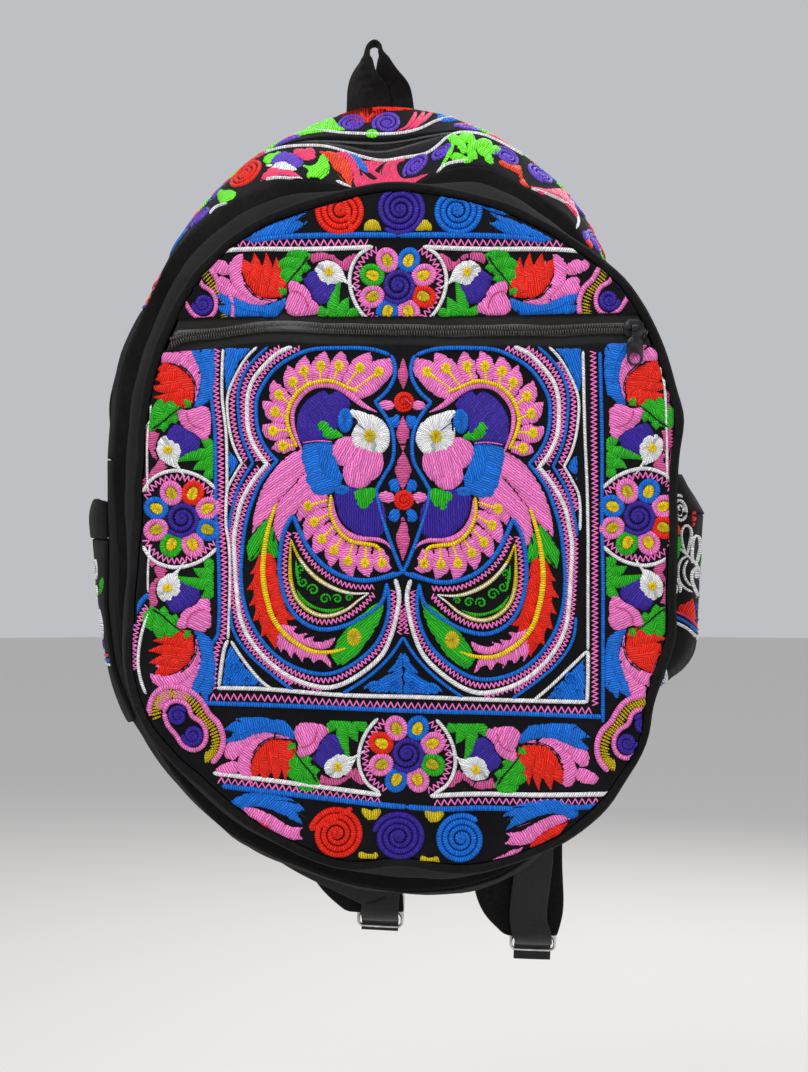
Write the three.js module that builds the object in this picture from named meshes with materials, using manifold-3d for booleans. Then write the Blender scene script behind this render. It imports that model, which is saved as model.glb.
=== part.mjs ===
// A soft cotton rucksack with embroidered panels, hanging by the loop at its top.
// Millimetres, +X to the viewer's right, +Y towards the wall, +Z up.
// The origin is inside the top of the hanging loop, where a hook carries it.
// Soft pieces are laid out on outlines and then draped by one table of dents and swells,
// so that sewn neighbours keep their seam gap.
import * as THREE from "three";
import { mergeVertices } from "three/addons/utils/BufferGeometryUtils.js";
import Module from "manifold-3d";

const wasm = await Module();
wasm.setup();

// Main compartment
const REACH = 200; // the unit of the outline table, about half the height of the body
const BODY_MIDDLE_X = 5;
const BODY_MIDDLE_Z = -270;
const BODY_DEPTH = 85;
const CLOTH = 2;
const BACK_CLOTH = 2.4;
const SEAM_GAP = 0.3;

// Front pocket
const POCKET_DEPTH = 33;
const POCKET_LEAN = 9; // its face hangs to the right of the body's middle
const POCKET_SAG = 2; // and a little lower
const POCKET_FOOT_INSET = 9; // from the front seam to the foot of the pocket
const POCKET_BAND_SWELL = 3;
const PIPING_RADIUS = 2.4;
const FACE_CLOTH = 1.6;
const FACE_CLEARANCE = 0.6; // piping to the face inside it
const ZIP_LINE_Z = -173.5;
const ZIP_SLOT = 15; // bare tape seen between two sewn edges
const ZIP_TAPE = 25;
const ZIP_TAPE_THICK = 0.8;
const COIL_WIDE = 5.6;
const COIL_HIGH = 1.8;
const TAPE_END_CLEARANCE = 1; // tape end to the edge of the face

// Main zip and the gusset strips, in degrees round the outline from the right-hand side
const ARCH_FROM = 42; // lower end of the embroidered arch
const ZIP_FROM = 13.5; // lower end of the main zip
const BACK_STRIP = 28; // widths across the gusset
const ZIP_OPEN = 20;
const TAPE_UNDER_STRIP = 4;
const TAPE_CLEARANCE = 0.6; // strips to the tape under them
const SEAM_ANGLE = 0.13; // degrees, half the gap between pieces that follow each other

// Side pockets
const RIGHT_POCKET_TOP = 10.5; // degrees round the outline
const LEFT_POCKET_TOP = 5.5;
const SIDE_POCKET_TALL = 43.5; // degrees, hem to bottom seam
const SIDE_POCKET_INSET = 8; // from the back and front seams
const SIDE_POCKET_CLOTH = 1.6;
const SIDE_POCKET_CLEARANCE = 0.6;
const HEM_ANGLE = 8;
const HEM_EXTRA = 0.8; // the hem is thicker than the pocket
const RIGHT_POCKET_BULGE = 24;
const LEFT_POCKET_BULGE = 12;

// Loop, straps and webbing
const LOOP_WIDTH = 25;
const LOOP_THICK = 2;
const STRAP_WIDTH = 52;
const STRAP_THICK = 7;
const WEBBING_WIDTH = 21;
const WEBBING_THICK = 1.6;
const WIRE_RADIUS = 1;
const BUCKLE_WIDTH = 27;
const BUCKLE_HEIGHT = 20;
const KEEPER_LEG = 7; // sewn ends of the loop that holds the buckle
const BAR_CLEARANCE = 0.4; // webbing to the wire that it turns round
const SEWN_CLEARANCE = 0.6; // webbing to the panel or strap that it is sewn to

// Sliders and pulls
const SLIDER_LONG = 10;
const SLIDER_WIDE = 9;
const SLIDER_PLATE = 1.4;
const SLIDER_LIFT = 0.5; // plate above the coil
const BAIL_RISE = 2.7; // plate to the middle of the bar
const BAIL_RADIUS = 0.6;
const BAIL_POST = 1.1;
const EYE_OUTER = 2.1;
const EYE_INNER = 1.1;
const EYE_WIDE = 3.2;
const PULL_LONG = 19;
const PULL_WIDE = 8;
const PULL_THICK = 1.2;
const PULL_HOLE = 2.8;
const POCKET_SLIDER_X = 131;
const MAIN_SLIDER_AT = 24; // degrees round the outline

const FRONT_PANEL_Y = -BODY_DEPTH - SEAM_GAP;
const BAND_BACK_Y = FRONT_PANEL_Y - CLOTH - SEAM_GAP;
const PIPING_Y = -BODY_DEPTH - POCKET_DEPTH;
const BAND_FRONT_Y = PIPING_Y + PIPING_RADIUS + SEAM_GAP;
const FACE_INSET = PIPING_RADIUS + FACE_CLEARANCE;
const FACE_FRONT_Y = PIPING_Y - FACE_CLOTH / 2;
const FACE_BACK_Y = PIPING_Y + FACE_CLOTH / 2;
const TAPE_FRONT_Y = FACE_BACK_Y + SEAM_GAP;
const BACK_PANEL_OUT_Y = SEAM_GAP + BACK_CLOTH;

// Outlines by the hour of a clock face, as shares of REACH: at the back seam, along the
// zip, at the widest swell, at the front seam, and the face of the front pocket.
const OUTLINES = [
  { hour: 0, back: 1.175, zip: 1.053, swell: 1.02, seam: 0.932, face: 0.855 },
  { hour: 0.5, back: 1.138, zip: 1.095, swell: 1.055, seam: 0.955, face: 0.852 },
  { hour: 0.8, back: 1.09, zip: 1.052, swell: 1.03, seam: 0.953, face: 0.845 },
  { hour: 1.1, back: 1.03, zip: 0.99, swell: 0.975, seam: 0.925, face: 0.836 },
  { hour: 1.5, back: 0.92, zip: 0.89, swell: 0.875, seam: 0.845, face: 0.82 },
  { hour: 2, back: 0.835, zip: 0.815, swell: 0.805, seam: 0.775, face: 0.778 },
  { hour: 3, back: 0.74, zip: 0.735, swell: 0.73, seam: 0.695, face: 0.684 },
  { hour: 4, back: 0.785, zip: 0.8, swell: 0.8, seam: 0.765, face: 0.752 },
  { hour: 4.5, back: 0.85, zip: 0.88, swell: 0.88, seam: 0.845, face: 0.83 },
  { hour: 5, back: 0.935, zip: 0.953, swell: 0.955, seam: 0.92, face: 0.87 },
  { hour: 5.5, back: 0.985, zip: 1.0, swell: 1.003, seam: 0.968, face: 0.876 },
  { hour: 6, back: 0.95, zip: 0.97, swell: 0.972, seam: 0.942, face: 0.85 },
  { hour: 6.5, back: 0.917, zip: 0.934, swell: 0.937, seam: 0.91, face: 0.85 },
  { hour: 7, back: 0.89, zip: 0.905, swell: 0.907, seam: 0.878, face: 0.817 },
  { hour: 8, back: 0.805, zip: 0.812, swell: 0.812, seam: 0.775, face: 0.785 },
  { hour: 8.5, back: 0.762, zip: 0.763, swell: 0.762, seam: 0.72, face: 0.686 },
  { hour: 9, back: 0.74, zip: 0.732, swell: 0.727, seam: 0.695, face: 0.652 },
  { hour: 9.5, back: 0.785, zip: 0.76, swell: 0.75, seam: 0.728, face: 0.673 },
  { hour: 10, back: 0.855, zip: 0.828, swell: 0.812, seam: 0.787, face: 0.722 },
  { hour: 10.5, back: 0.915, zip: 0.883, swell: 0.867, seam: 0.85, face: 0.79 },
  { hour: 11, back: 1.023, zip: 0.985, swell: 0.962, seam: 0.918, face: 0.838 },
  { hour: 11.5, back: 1.115, zip: 1.066, swell: 1.035, seam: 0.93, face: 0.848 },
];
const BODY_SECTIONS = [
  { depth: 0, column: "back" },
  { depth: 0.45, column: "zip" },
  { depth: 0.7, column: "swell" },
  { depth: 1, column: "seam" },
];

// How far a side pocket stands out, from its hem down to its bottom seam.
const SIDE_POCKET_BULGE = [
  { down: 0, right: 0.4, left: 0.55 },
  { down: 0.1, right: 0.72, left: 0.8 },
  { down: 0.2, right: 0.98, left: 0.55 },
  { down: 0.5, right: 0.92, left: 0.12 },
  { down: 0.75, right: 1.06, left: 0.12 },
  { down: 0.88, right: 0.85, left: 0.1 },
  { down: 1, right: 0, left: 0 },
];

// Dents, swells and folds. Each pushes the cloth along one axis round a centre, by its
// own amount at the back seam, the front seam and the face of the pocket.
const DRAPE = [
  { what: "dip above pocket", x: 5, z: -75, wide: 27, tall: 60, along: "z", back: 0, seam: -17, face: 0 },
  { what: "right shoulder", x: 48, z: -78, wide: 24, tall: 40, along: "z", back: 0, seam: 3, face: 0 },
  { what: "belly", x: 8, z: -275, wide: 105, tall: 130, along: "y", back: 3, seam: -2, face: -12 },
  { what: "tuck under the pocket", x: 10, z: -440, wide: 9, tall: 14, along: "z", back: 0, seam: 0, face: 5 },
  { what: "zip sags left", x: -100, z: -174, wide: 26, tall: 20, along: "z", back: 0, seam: 0, face: -3 },
  { what: "zip lifts left", x: -45, z: -174, wide: 30, tall: 20, along: "z", back: 0, seam: 0, face: 2 },
  { what: "zip lifts right", x: 118, z: -174, wide: 24, tall: 20, along: "z", back: 0, seam: 0, face: 2 },
  { what: "puffed low left", x: -98, z: -345, wide: 34, tall: 34, along: "y", back: 0, seam: 0, face: -5 },
  { what: "hollow low left", x: -60, z: -402, wide: 30, tall: 26, along: "y", back: 0, seam: 0, face: 3 },
  { what: "puffed low right", x: 100, z: -385, wide: 36, tall: 34, along: "y", back: 0, seam: 0, face: -4 },
];

// Middle lines of the straps from the top seam to the buckle, width and thickness as shares.
const STRAP_ROUTES = {
  left: [
    { x: -40, y: 5.7, z: -66, width: 0.8, thick: 0.7 },
    { x: -42, y: 5.9, z: -82, width: 0.9, thick: 0.75 },
    { x: -46, y: 11, z: -106, width: 0.97, thick: 1 },
    { x: -58, y: 24, z: -160, width: 1, thick: 1 },
    { x: -66, y: 33, z: -245, width: 1, thick: 1 },
    { x: -62, y: 34, z: -330, width: 1, thick: 1 },
    { x: -46, y: 27, z: -392, width: 1, thick: 1 },
    { x: -22, y: 17, z: -446, width: 1, thick: 0.9 },
    { x: -9, y: 15.5, z: -474, width: 0.9, thick: 0.7 },
    { x: 0, y: 15.5, z: -489, width: 0.62, thick: 0.5 },
  ],
  right: [
    { x: 40, y: 5.7, z: -66, width: 0.8, thick: 0.7 },
    { x: 42, y: 5.9, z: -82, width: 0.9, thick: 0.75 },
    { x: 47, y: 11, z: -106, width: 0.97, thick: 1 },
    { x: 60, y: 24, z: -160, width: 1, thick: 1 },
    { x: 72, y: 33, z: -245, width: 1, thick: 1 },
    { x: 79, y: 34, z: -330, width: 1, thick: 1 },
    { x: 82, y: 27, z: -402, width: 1, thick: 1 },
    { x: 80, y: 17, z: -456, width: 1, thick: 0.9 },
    { x: 83, y: 15.5, z: -486, width: 0.92, thick: 0.7 },
    { x: 88.5, y: 15.5, z: -502.5, width: 0.56, thick: 0.5 },
  ],
};

// Where each buckle's lower bar hangs, how far it leans in degrees, and where its webbing
// is sewn to the back panel.
const BUCKLES = {
  left: { x: 2.5, z: -498, lean: 3, sewnX: -84, sewnZ: -408, reachX: -45, tail: 3 },
  right: { x: 89.5, z: -511.5, lean: 2, sewnX: 90, sewnZ: -404, reachX: 90, tail: 6 },
};

// The hanging loop from its left end, over the hook, to its right end. turn is the way the
// ribbon faces: 180 is towards the viewer, 90 is sideways.
const LOOP_STATIONS = [
  { x: -4.5, y: 4.1, z: -56, turn: 180, width: 1 },
  { x: -4.5, y: 4.1, z: -32, turn: 180, width: 1 },
  { x: -5, y: 3.8, z: -22, turn: 160, width: 0.93 },
  { x: -5, y: 1, z: -12, turn: 120, width: 0.72 },
  { x: -4.7, y: 0, z: -4.5, turn: 90, width: 0.52 },
  { x: -3.2, y: 0, z: -0.6, turn: 90, width: 0.5 },
  { x: 0, y: 0, z: 1, turn: 90, width: 0.5 },
  { x: 3.2, y: 0, z: -0.6, turn: 90, width: 0.5 },
  { x: 5, y: 0.4, z: -4.5, turn: 90, width: 0.52 },
  { x: 6.5, y: 2.5, z: -12, turn: 120, width: 0.72 },
  { x: 8.5, y: 6.6, z: -22, turn: 160, width: 0.93 },
  { x: 10, y: 7, z: -32, turn: 180, width: 1 },
  { x: 10, y: 7, z: -56, turn: 180, width: 1 },
];

const radians = THREE.MathUtils.degToRad;
const lerp = THREE.MathUtils.lerp;
const bag = new THREE.Group();
bag.name = "rucksack";

const MATERIALS = {
  blackCotton: { color: 0x1b1a1b, roughness: 0.92, metalness: 0 },
  embroidered: { color: 0xc8427f, roughness: 0.6, metalness: 0 },
  brightArch: { color: 0x6fc02e, roughness: 0.6, metalness: 0 },
  zipTape: { color: 0x141414, roughness: 0.8, metalness: 0 },
  zipCoil: { color: 0x2a2823, roughness: 0.45, metalness: 0 },
  darkMetal: { color: 0x3a3c3b, roughness: 0.4, metalness: 0.8 },
  wire: { color: 0xcac7bd, roughness: 0.25, metalness: 1 },
  webbing: { color: 0x121213, roughness: 0.85, metalness: 0 },
};

// A smooth curve through one column of a table whose rows are in order of another.
function along(table, key, at, column) {
  let i = 0;
  while (i < table.length - 2 && at > table[i + 1][key]) i += 1;
  const before = table[Math.max(i - 1, 0)];
  const from = table[i];
  const to = table[i + 1];
  const after = table[Math.min(i + 2, table.length - 1)];
  const span = to[key] - from[key];
  const t = THREE.MathUtils.clamp((at - from[key]) / span, 0, 1);
  const slope = (a, b) => ((b[column] - a[column]) / (b[key] - a[key])) * span;
  const m0 = slope(before, to);
  const m1 = slope(from, after);
  const t2 = t * t;
  const t3 = t2 * t;
  return (
    (2 * t3 - 3 * t2 + 1) * from[column] +
    (t3 - 2 * t2 + t) * m0 +
    (3 * t2 - 2 * t3) * to[column] +
    (t3 - t2) * m1
  );
}

const hourShift = (row, hours) => ({ ...row, hour: row.hour + hours });
const ROUND_THE_CLOCK = [
  hourShift(OUTLINES.at(-2), -12),
  hourShift(OUTLINES.at(-1), -12),
  ...OUTLINES,
  hourShift(OUTLINES[0], 12),
  hourShift(OUTLINES[1], 12),
];

// Degrees run anticlockwise from the right-hand side, hours clockwise from the top.
function reachAt(degrees, column) {
  const hour = THREE.MathUtils.euclideanModulo((90 - degrees) / 30, 12);
  return REACH * along(ROUND_THE_CLOCK, "hour", hour, column);
}

// Moves a point of the layout to where the hanging cloth is.
function drape(p) {
  const toSeam = THREE.MathUtils.clamp(-p.y / BODY_DEPTH, 0, 1);
  const toFace = THREE.MathUtils.smoothstep(-p.y, -BAND_BACK_Y, -PIPING_Y - 1);
  const moved = p.clone();
  for (const fold of DRAPE) {
    const weight = Math.exp(-(((p.x - fold.x) / fold.wide) ** 2) - ((p.z - fold.z) / fold.tall) ** 2);
    moved[fold.along] += weight * lerp(lerp(fold.back, fold.seam, toSeam), fold.face, toFace);
  }
  return moved;
}

// A closed solid from points and faces, turned outwards, without collapsed faces.
function solidFrom(points, faces) {
  const first = new Map();
  const same = points.map((p, i) => {
    const key = p.toArray().map((v) => v.toFixed(4)).join();
    if (!first.has(key)) first.set(key, i);
    return first.get(key);
  });
  const kept = faces
    .map((face) => face.map((i) => same[i]))
    .filter(([a, b, c]) => a !== b && b !== c && c !== a);
  let volume = 0;
  for (const [a, b, c] of kept) volume += points[a].dot(points[b].clone().cross(points[c]));
  const turned = volume < 0 ? kept.map(([a, b, c]) => [a, c, b]) : kept;
  const used = [...new Set(turned.flat())];
  const index = new Map(used.map((old, i) => [old, i]));
  const geometry = new THREE.BufferGeometry();
  const values = used.flatMap((i) => points[i].toArray());
  geometry.setAttribute("position", new THREE.Float32BufferAttribute(values, 3));
  geometry.setIndex(turned.flat().map((i) => index.get(i)));
  return geometry;
}

// Two triangles over the corners a, b, c, d taken in turn.
const quad = (a, b, c, d) => [
  [a, b, c],
  [a, c, d],
];

// A cloth wall: point(i, j, side) with side 0 its outer face and side 1 its inner one.
function clothWall(columns, rows, point, loop = false) {
  const around = loop ? columns : columns + 1;
  const id = (i, j, side) => (side * around + (i % around)) * (rows + 1) + j;
  const points = [];
  for (const side of [0, 1])
    for (let i = 0; i < around; i += 1)
      for (let j = 0; j <= rows; j += 1) points.push(drape(point(i, j, side)));
  const faces = [];
  for (let i = 0; i < columns; i += 1) {
    for (let j = 0; j < rows; j += 1) {
      faces.push(...quad(id(i, j, 0), id(i + 1, j, 0), id(i + 1, j + 1, 0), id(i, j + 1, 0)));
      faces.push(...quad(id(i, j, 1), id(i, j + 1, 1), id(i + 1, j + 1, 1), id(i + 1, j, 1)));
    }
    faces.push(...quad(id(i, 0, 0), id(i, 0, 1), id(i + 1, 0, 1), id(i + 1, 0, 0)));
    faces.push(...quad(id(i, rows, 0), id(i + 1, rows, 0), id(i + 1, rows, 1), id(i, rows, 1)));
  }
  if (!loop)
    for (let j = 0; j < rows; j += 1) {
      faces.push(...quad(id(0, j, 0), id(0, j + 1, 0), id(0, j + 1, 1), id(0, j, 1)));
      faces.push(
        ...quad(id(columns, j, 0), id(columns, j, 1), id(columns, j + 1, 1), id(columns, j + 1, 0)),
      );
    }
  return solidFrom(points, faces);
}

// A cloth disc: edge(k) is its outline and the rings shrink it to its centre.
function clothDisc(segments, rings, edge, frontY, backY) {
  const points = [];
  const id = (k, ring, side) => 2 + (side * segments + (k % segments)) * rings + ring;
  for (const y of [frontY, backY]) points.push(drape(new THREE.Vector3(BODY_MIDDLE_X, y, BODY_MIDDLE_Z)));
  for (const y of [frontY, backY])
    for (let k = 0; k < segments; k += 1)
      for (let ring = 0; ring < rings; ring += 1) {
        const share = 1 - ring / rings;
        const x = lerp(BODY_MIDDLE_X, edge(k).x, share);
        const z = lerp(BODY_MIDDLE_Z, edge(k).z, share);
        points.push(drape(new THREE.Vector3(x, y, z)));
      }
  const faces = [];
  for (let k = 0; k < segments; k += 1) {
    for (let ring = 0; ring < rings - 1; ring += 1) {
      faces.push(...quad(id(k, ring, 0), id(k + 1, ring, 0), id(k + 1, ring + 1, 0), id(k, ring + 1, 0)));
      faces.push(...quad(id(k, ring, 1), id(k, ring + 1, 1), id(k + 1, ring + 1, 1), id(k + 1, ring, 1)));
    }
    faces.push([0, id(k, rings - 1, 0), id(k + 1, rings - 1, 0)]);
    faces.push([1, id(k + 1, rings - 1, 1), id(k, rings - 1, 1)]);
    faces.push(...quad(id(k, 0, 0), id(k, 0, 1), id(k + 1, 0, 1), id(k + 1, 0, 0)));
  }
  return solidFrom(points, faces);
}

// A solid through rings of points. A closed one joins its last ring to its first.
function loft(rings, closed = false) {
  const sides = rings[0].length;
  const id = (i, k) => (i % rings.length) * sides + (k % sides);
  const faces = [];
  const spans = closed ? rings.length : rings.length - 1;
  for (let i = 0; i < spans; i += 1)
    for (let k = 0; k < sides; k += 1)
      faces.push(...quad(id(i, k), id(i, k + 1), id(i + 1, k + 1), id(i + 1, k)));
  if (!closed)
    for (let k = 1; k < sides - 1; k += 1) {
      faces.push([id(0, 0), id(0, k + 1), id(0, k)]);
      faces.push([id(spans, 0), id(spans, k), id(spans, k + 1)]);
    }
  return solidFrom(rings.flat(), faces);
}

// A ribbon along stations, each with its place, the way its width runs, its width, its
// thickness and how rounded its edges are. A level one keeps its width's direction.
function ribbon(stations) {
  const rings = stations.map((s, i) => {
    const before = stations[Math.max(i - 1, 0)].at;
    const after = stations[Math.min(i + 1, stations.length - 1)].at;
    const tangent = after.clone().sub(before).normalize();
    const skew = s.level ? 0 : s.across.dot(tangent);
    const across = s.across.clone().addScaledVector(tangent, -skew).normalize();
    const normal = tangent.clone().cross(across).normalize();
    const half = s.width / 2;
    const thin = s.thick / 2;
    const shape = [
      [half, thin * s.edge],
      [half * 0.8, thin],
      [-half * 0.8, thin],
      [-half, thin * s.edge],
      [-half, -thin * s.edge],
      [-half * 0.8, -thin],
      [half * 0.8, -thin],
      [half, -thin * s.edge],
    ];
    return shape.map(([u, v]) => s.at.clone().addScaledVector(across, u).addScaledVector(normal, v));
  });
  return loft(rings);
}

// A geometry as a manifold-3d solid, and back.
function toSolid(geometry) {
  const bare = geometry.clone();
  bare.deleteAttribute("normal");
  bare.deleteAttribute("uv");
  const merged = mergeVertices(bare, 1e-4);
  return new wasm.Manifold(
    new wasm.Mesh({
      numProp: 3,
      vertProperties: new Float32Array(merged.attributes.position.array),
      triVerts: new Uint32Array(merged.index.array),
    }),
  );
}

function fromSolid(solid) {
  const mesh = solid.getMesh();
  const geometry = new THREE.BufferGeometry();
  geometry.setAttribute("position", new THREE.BufferAttribute(mesh.vertProperties, 3));
  geometry.setIndex(new THREE.BufferAttribute(mesh.triVerts, 1));
  return geometry;
}

const joined = (geometries) => fromSolid(geometries.map(toSolid).reduce((a, b) => a.add(b)));

function add(name, geometry, material) {
  const mesh = new THREE.Mesh(geometry, new THREE.MeshStandardMaterial(MATERIALS[material]));
  mesh.name = name;
  bag.add(mesh);
  return mesh;
}

// Moves a point of an outline outwards within its own plane.
function offsetOutline(outline, degrees, distance) {
  const step = 0.5;
  const tangent = outline(degrees + step).sub(outline(degrees - step));
  const normal = new THREE.Vector3(tangent.z, 0, -tangent.x).normalize();
  return outline(degrees).addScaledVector(normal, distance);
}

const polar = (x, z, degrees, reach) =>
  new THREE.Vector3(x + reach * Math.cos(radians(degrees)), 0, z + reach * Math.sin(radians(degrees)));

function bodyPoint(degrees, depth, out = 0) {
  const outline = (a) => {
    const rows = BODY_SECTIONS.map((row) => ({ depth: row.depth, reach: reachAt(a, row.column) }));
    return polar(BODY_MIDDLE_X, BODY_MIDDLE_Z, a, along(rows, "depth", depth, "reach"));
  };
  const p = offsetOutline(outline, degrees, out);
  p.y = -depth * BODY_DEPTH;
  return p;
}

function faceEdge(degrees, out = 0) {
  const x = BODY_MIDDLE_X + POCKET_LEAN;
  const z = BODY_MIDDLE_Z - POCKET_SAG;
  const p = offsetOutline((a) => polar(x, z, a, reachAt(a, "face")), degrees, out);
  p.y = PIPING_Y;
  return p;
}

// The list of steps from one value to another.
const steps = (from, to, count) => Array.from({ length: count + 1 }, (_, i) => lerp(from, to, i / count));

// One set of angles for all gusset pieces, so that layers over each other bend alike.
const ARCH_TO = 180 - ARCH_FROM;
const ZIP_TO = 180 - ZIP_FROM;
const BODY_ANGLES = [
  ...steps(ZIP_FROM, ARCH_FROM, 6),
  ...steps(ARCH_FROM, ARCH_TO, 32).slice(1),
  ...steps(ARCH_TO, ZIP_TO, 6).slice(1),
  ...steps(ZIP_TO, 360 + ZIP_FROM, 38).slice(1),
  ...steps(360 + ZIP_FROM, 360 + ARCH_FROM, 6).slice(1),
];
function anglesBetween(from, to, angles = BODY_ANGLES) {
  const least = 0.4;
  return [from, ...angles.filter((a) => a > from + least && a < to - least), to];
}

// A piece of the gusset through lists of angles and shares of the depth.
function gusset(angles, depths, outer = 0, thick = CLOTH) {
  return clothWall(angles.length - 1, depths.length - 1, (i, j, side) =>
    bodyPoint(angles[i], depths[j], outer - side * thick),
  );
}

function buildBody() {
  const ring = BODY_ANGLES.filter((a, i) => a < 360 + ZIP_FROM - 1 && i % 2 === 0);
  const disc = (depth, frontY, backY) =>
    clothDisc(ring.length, 3, (k) => bodyPoint(ring[k % ring.length], depth), frontY, backY);
  add("back_panel", disc(0, SEAM_GAP, BACK_PANEL_OUT_Y), "blackCotton");
  add("front_panel", disc(1, FRONT_PANEL_Y - CLOTH, FRONT_PANEL_Y), "blackCotton");
  const base = anglesBetween(ZIP_TO + SEAM_ANGLE, 360 + ZIP_FROM - SEAM_ANGLE);
  add("base_gusset", gusset(base, steps(0, 1, 5)), "blackCotton");
}

function buildArch() {
  const backTo = BACK_STRIP / BODY_DEPTH;
  const frontFrom = (BACK_STRIP + ZIP_OPEN) / BODY_DEPTH;
  const under = TAPE_UNDER_STRIP / BODY_DEPTH;
  const strips = {
    back: [0, backTo * 0.45, backTo - under, backTo],
    front: [frontFrom, frontFrom + under, lerp(frontFrom, 1, 0.55), 1],
  };
  const stretches = {
    side_strip_right: [ZIP_FROM, ARCH_FROM, "blackCotton"],
    arch_strip: [ARCH_FROM, ARCH_TO, "brightArch"],
    side_strip_left: [ARCH_TO, ZIP_TO, "blackCotton"],
  };
  for (const [place, depths] of Object.entries(strips))
    for (const [name, [from, to, material]] of Object.entries(stretches)) {
      const angles = anglesBetween(from + SEAM_ANGLE, to - SEAM_ANGLE);
      add(`${name}_${place}`, gusset(angles, depths), material);
    }
  const angles = anglesBetween(ZIP_FROM + SEAM_ANGLE, ZIP_TO - SEAM_ANGLE);
  const tapeTop = -CLOTH - TAPE_CLEARANCE;
  const middle = (backTo + frontFrom) / 2;
  const half = COIL_WIDE / 2 / BODY_DEPTH;
  const tape = [backTo - under, middle - half, middle + half, frontFrom + under];
  add("main_zip_tape", gusset(angles, tape, tapeTop, ZIP_TAPE_THICK), "zipTape");
  const coil = gusset(angles, [middle - half, middle + half], tapeTop + SEAM_GAP + COIL_HIGH, COIL_HIGH);
  add("main_zip_coil", coil, "zipCoil");
}

const POCKET_ANGLES = steps(0, 360, 52).slice(0, -1);

function buildPocket() {
  const count = POCKET_ANGLES.length;
  const levels = [0, 0.35, 0.7, 1];
  const band = clothWall(
    count,
    levels.length - 1,
    (i, j, side) => {
      const a = POCKET_ANGLES[i];
      const out = CLOTH / 2 - side * CLOTH;
      const swell = POCKET_BAND_SWELL * Math.sin(Math.PI * levels[j]);
      const foot = bodyPoint(a, 1, out + swell - POCKET_FOOT_INSET);
      const p = foot.lerp(faceEdge(a, out + swell), levels[j]);
      p.y = lerp(BAND_BACK_Y, BAND_FRONT_Y, levels[j]);
      return p;
    },
    true,
  );
  add("pocket_band", band, "blackCotton");

  const sides = steps(0, 2 * Math.PI, 6).slice(0, -1);
  const rings = POCKET_ANGLES.map((a) =>
    sides.map((turn) => {
      const p = faceEdge(a, PIPING_RADIUS * Math.cos(turn));
      p.y += PIPING_RADIUS * Math.sin(turn);
      return drape(p);
    }),
  );
  add("pocket_piping", loft(rings, true), "blackCotton");
}

// The angle at which the edge of the pocket's face passes a height, on the right or left.
function faceAngleAt(z, right) {
  let low = right ? -60 : 240;
  let high = 90;
  for (let i = 0; i < 40; i += 1) {
    const middle = (low + high) / 2;
    if (faceEdge(middle, -FACE_INSET).z < z) low = middle;
    else high = middle;
  }
  return low;
}

function buildPocketFaces() {
  const parts = [
    { name: "pocket_face_upper", z: ZIP_LINE_Z + ZIP_SLOT / 2, rows: 3 },
    { name: "pocket_face_lower", z: ZIP_LINE_Z - ZIP_SLOT / 2, rows: 5 },
  ];
  for (const { name, z, rows } of parts) {
    const upper = z > ZIP_LINE_Z;
    const rightEnd = faceAngleAt(z, true);
    const leftEnd = faceAngleAt(z, false);
    const from = upper ? rightEnd : leftEnd;
    const to = upper ? leftEnd : rightEnd + 360;
    const angles = anglesBetween(from, to, [...POCKET_ANGLES, ...POCKET_ANGLES.map((a) => a + 360)]);
    const fromX = faceEdge(from, -FACE_INSET).x;
    const toX = faceEdge(to, -FACE_INSET).x;
    const columns = angles.length - 1;
    const face = clothWall(columns, rows, (i, j, side) => {
      const rim = faceEdge(angles[i], -FACE_INSET);
      const share = j / rows;
      const x = lerp(rim.x, lerp(fromX, toX, i / columns), share);
      const y = side === 0 ? FACE_FRONT_Y : FACE_BACK_Y;
      return new THREE.Vector3(x, y, lerp(rim.z, z, share));
    });
    add(name, face, "embroidered");
  }
}

function buildPocketZip() {
  const columns = 24;
  const ends = (z) => {
    const inset = -FACE_INSET - TAPE_END_CLEARANCE;
    const left = faceEdge(faceAngleAt(z, false), inset).x;
    const right = faceEdge(faceAngleAt(z, true), inset).x;
    return { left, right };
  };
  const strip = (rows, frontY, thick) =>
    clothWall(columns, rows.length - 1, (i, j, side) => {
      const z = ZIP_LINE_Z + rows[j];
      const { left, right } = ends(z);
      return new THREE.Vector3(lerp(left, right, i / columns), frontY + side * thick, z);
    });
  const edge = ZIP_SLOT / 2;
  const tape = strip([-ZIP_TAPE / 2, -edge, edge, ZIP_TAPE / 2], TAPE_FRONT_Y, ZIP_TAPE_THICK);
  add("pocket_zip_tape", tape, "zipTape");
  const coilY = TAPE_FRONT_Y - SEAM_GAP - COIL_HIGH;
  add("pocket_zip_coil", strip([-COIL_WIDE / 2, COIL_WIDE / 2], coilY, COIL_HIGH), "zipCoil");
}

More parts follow.
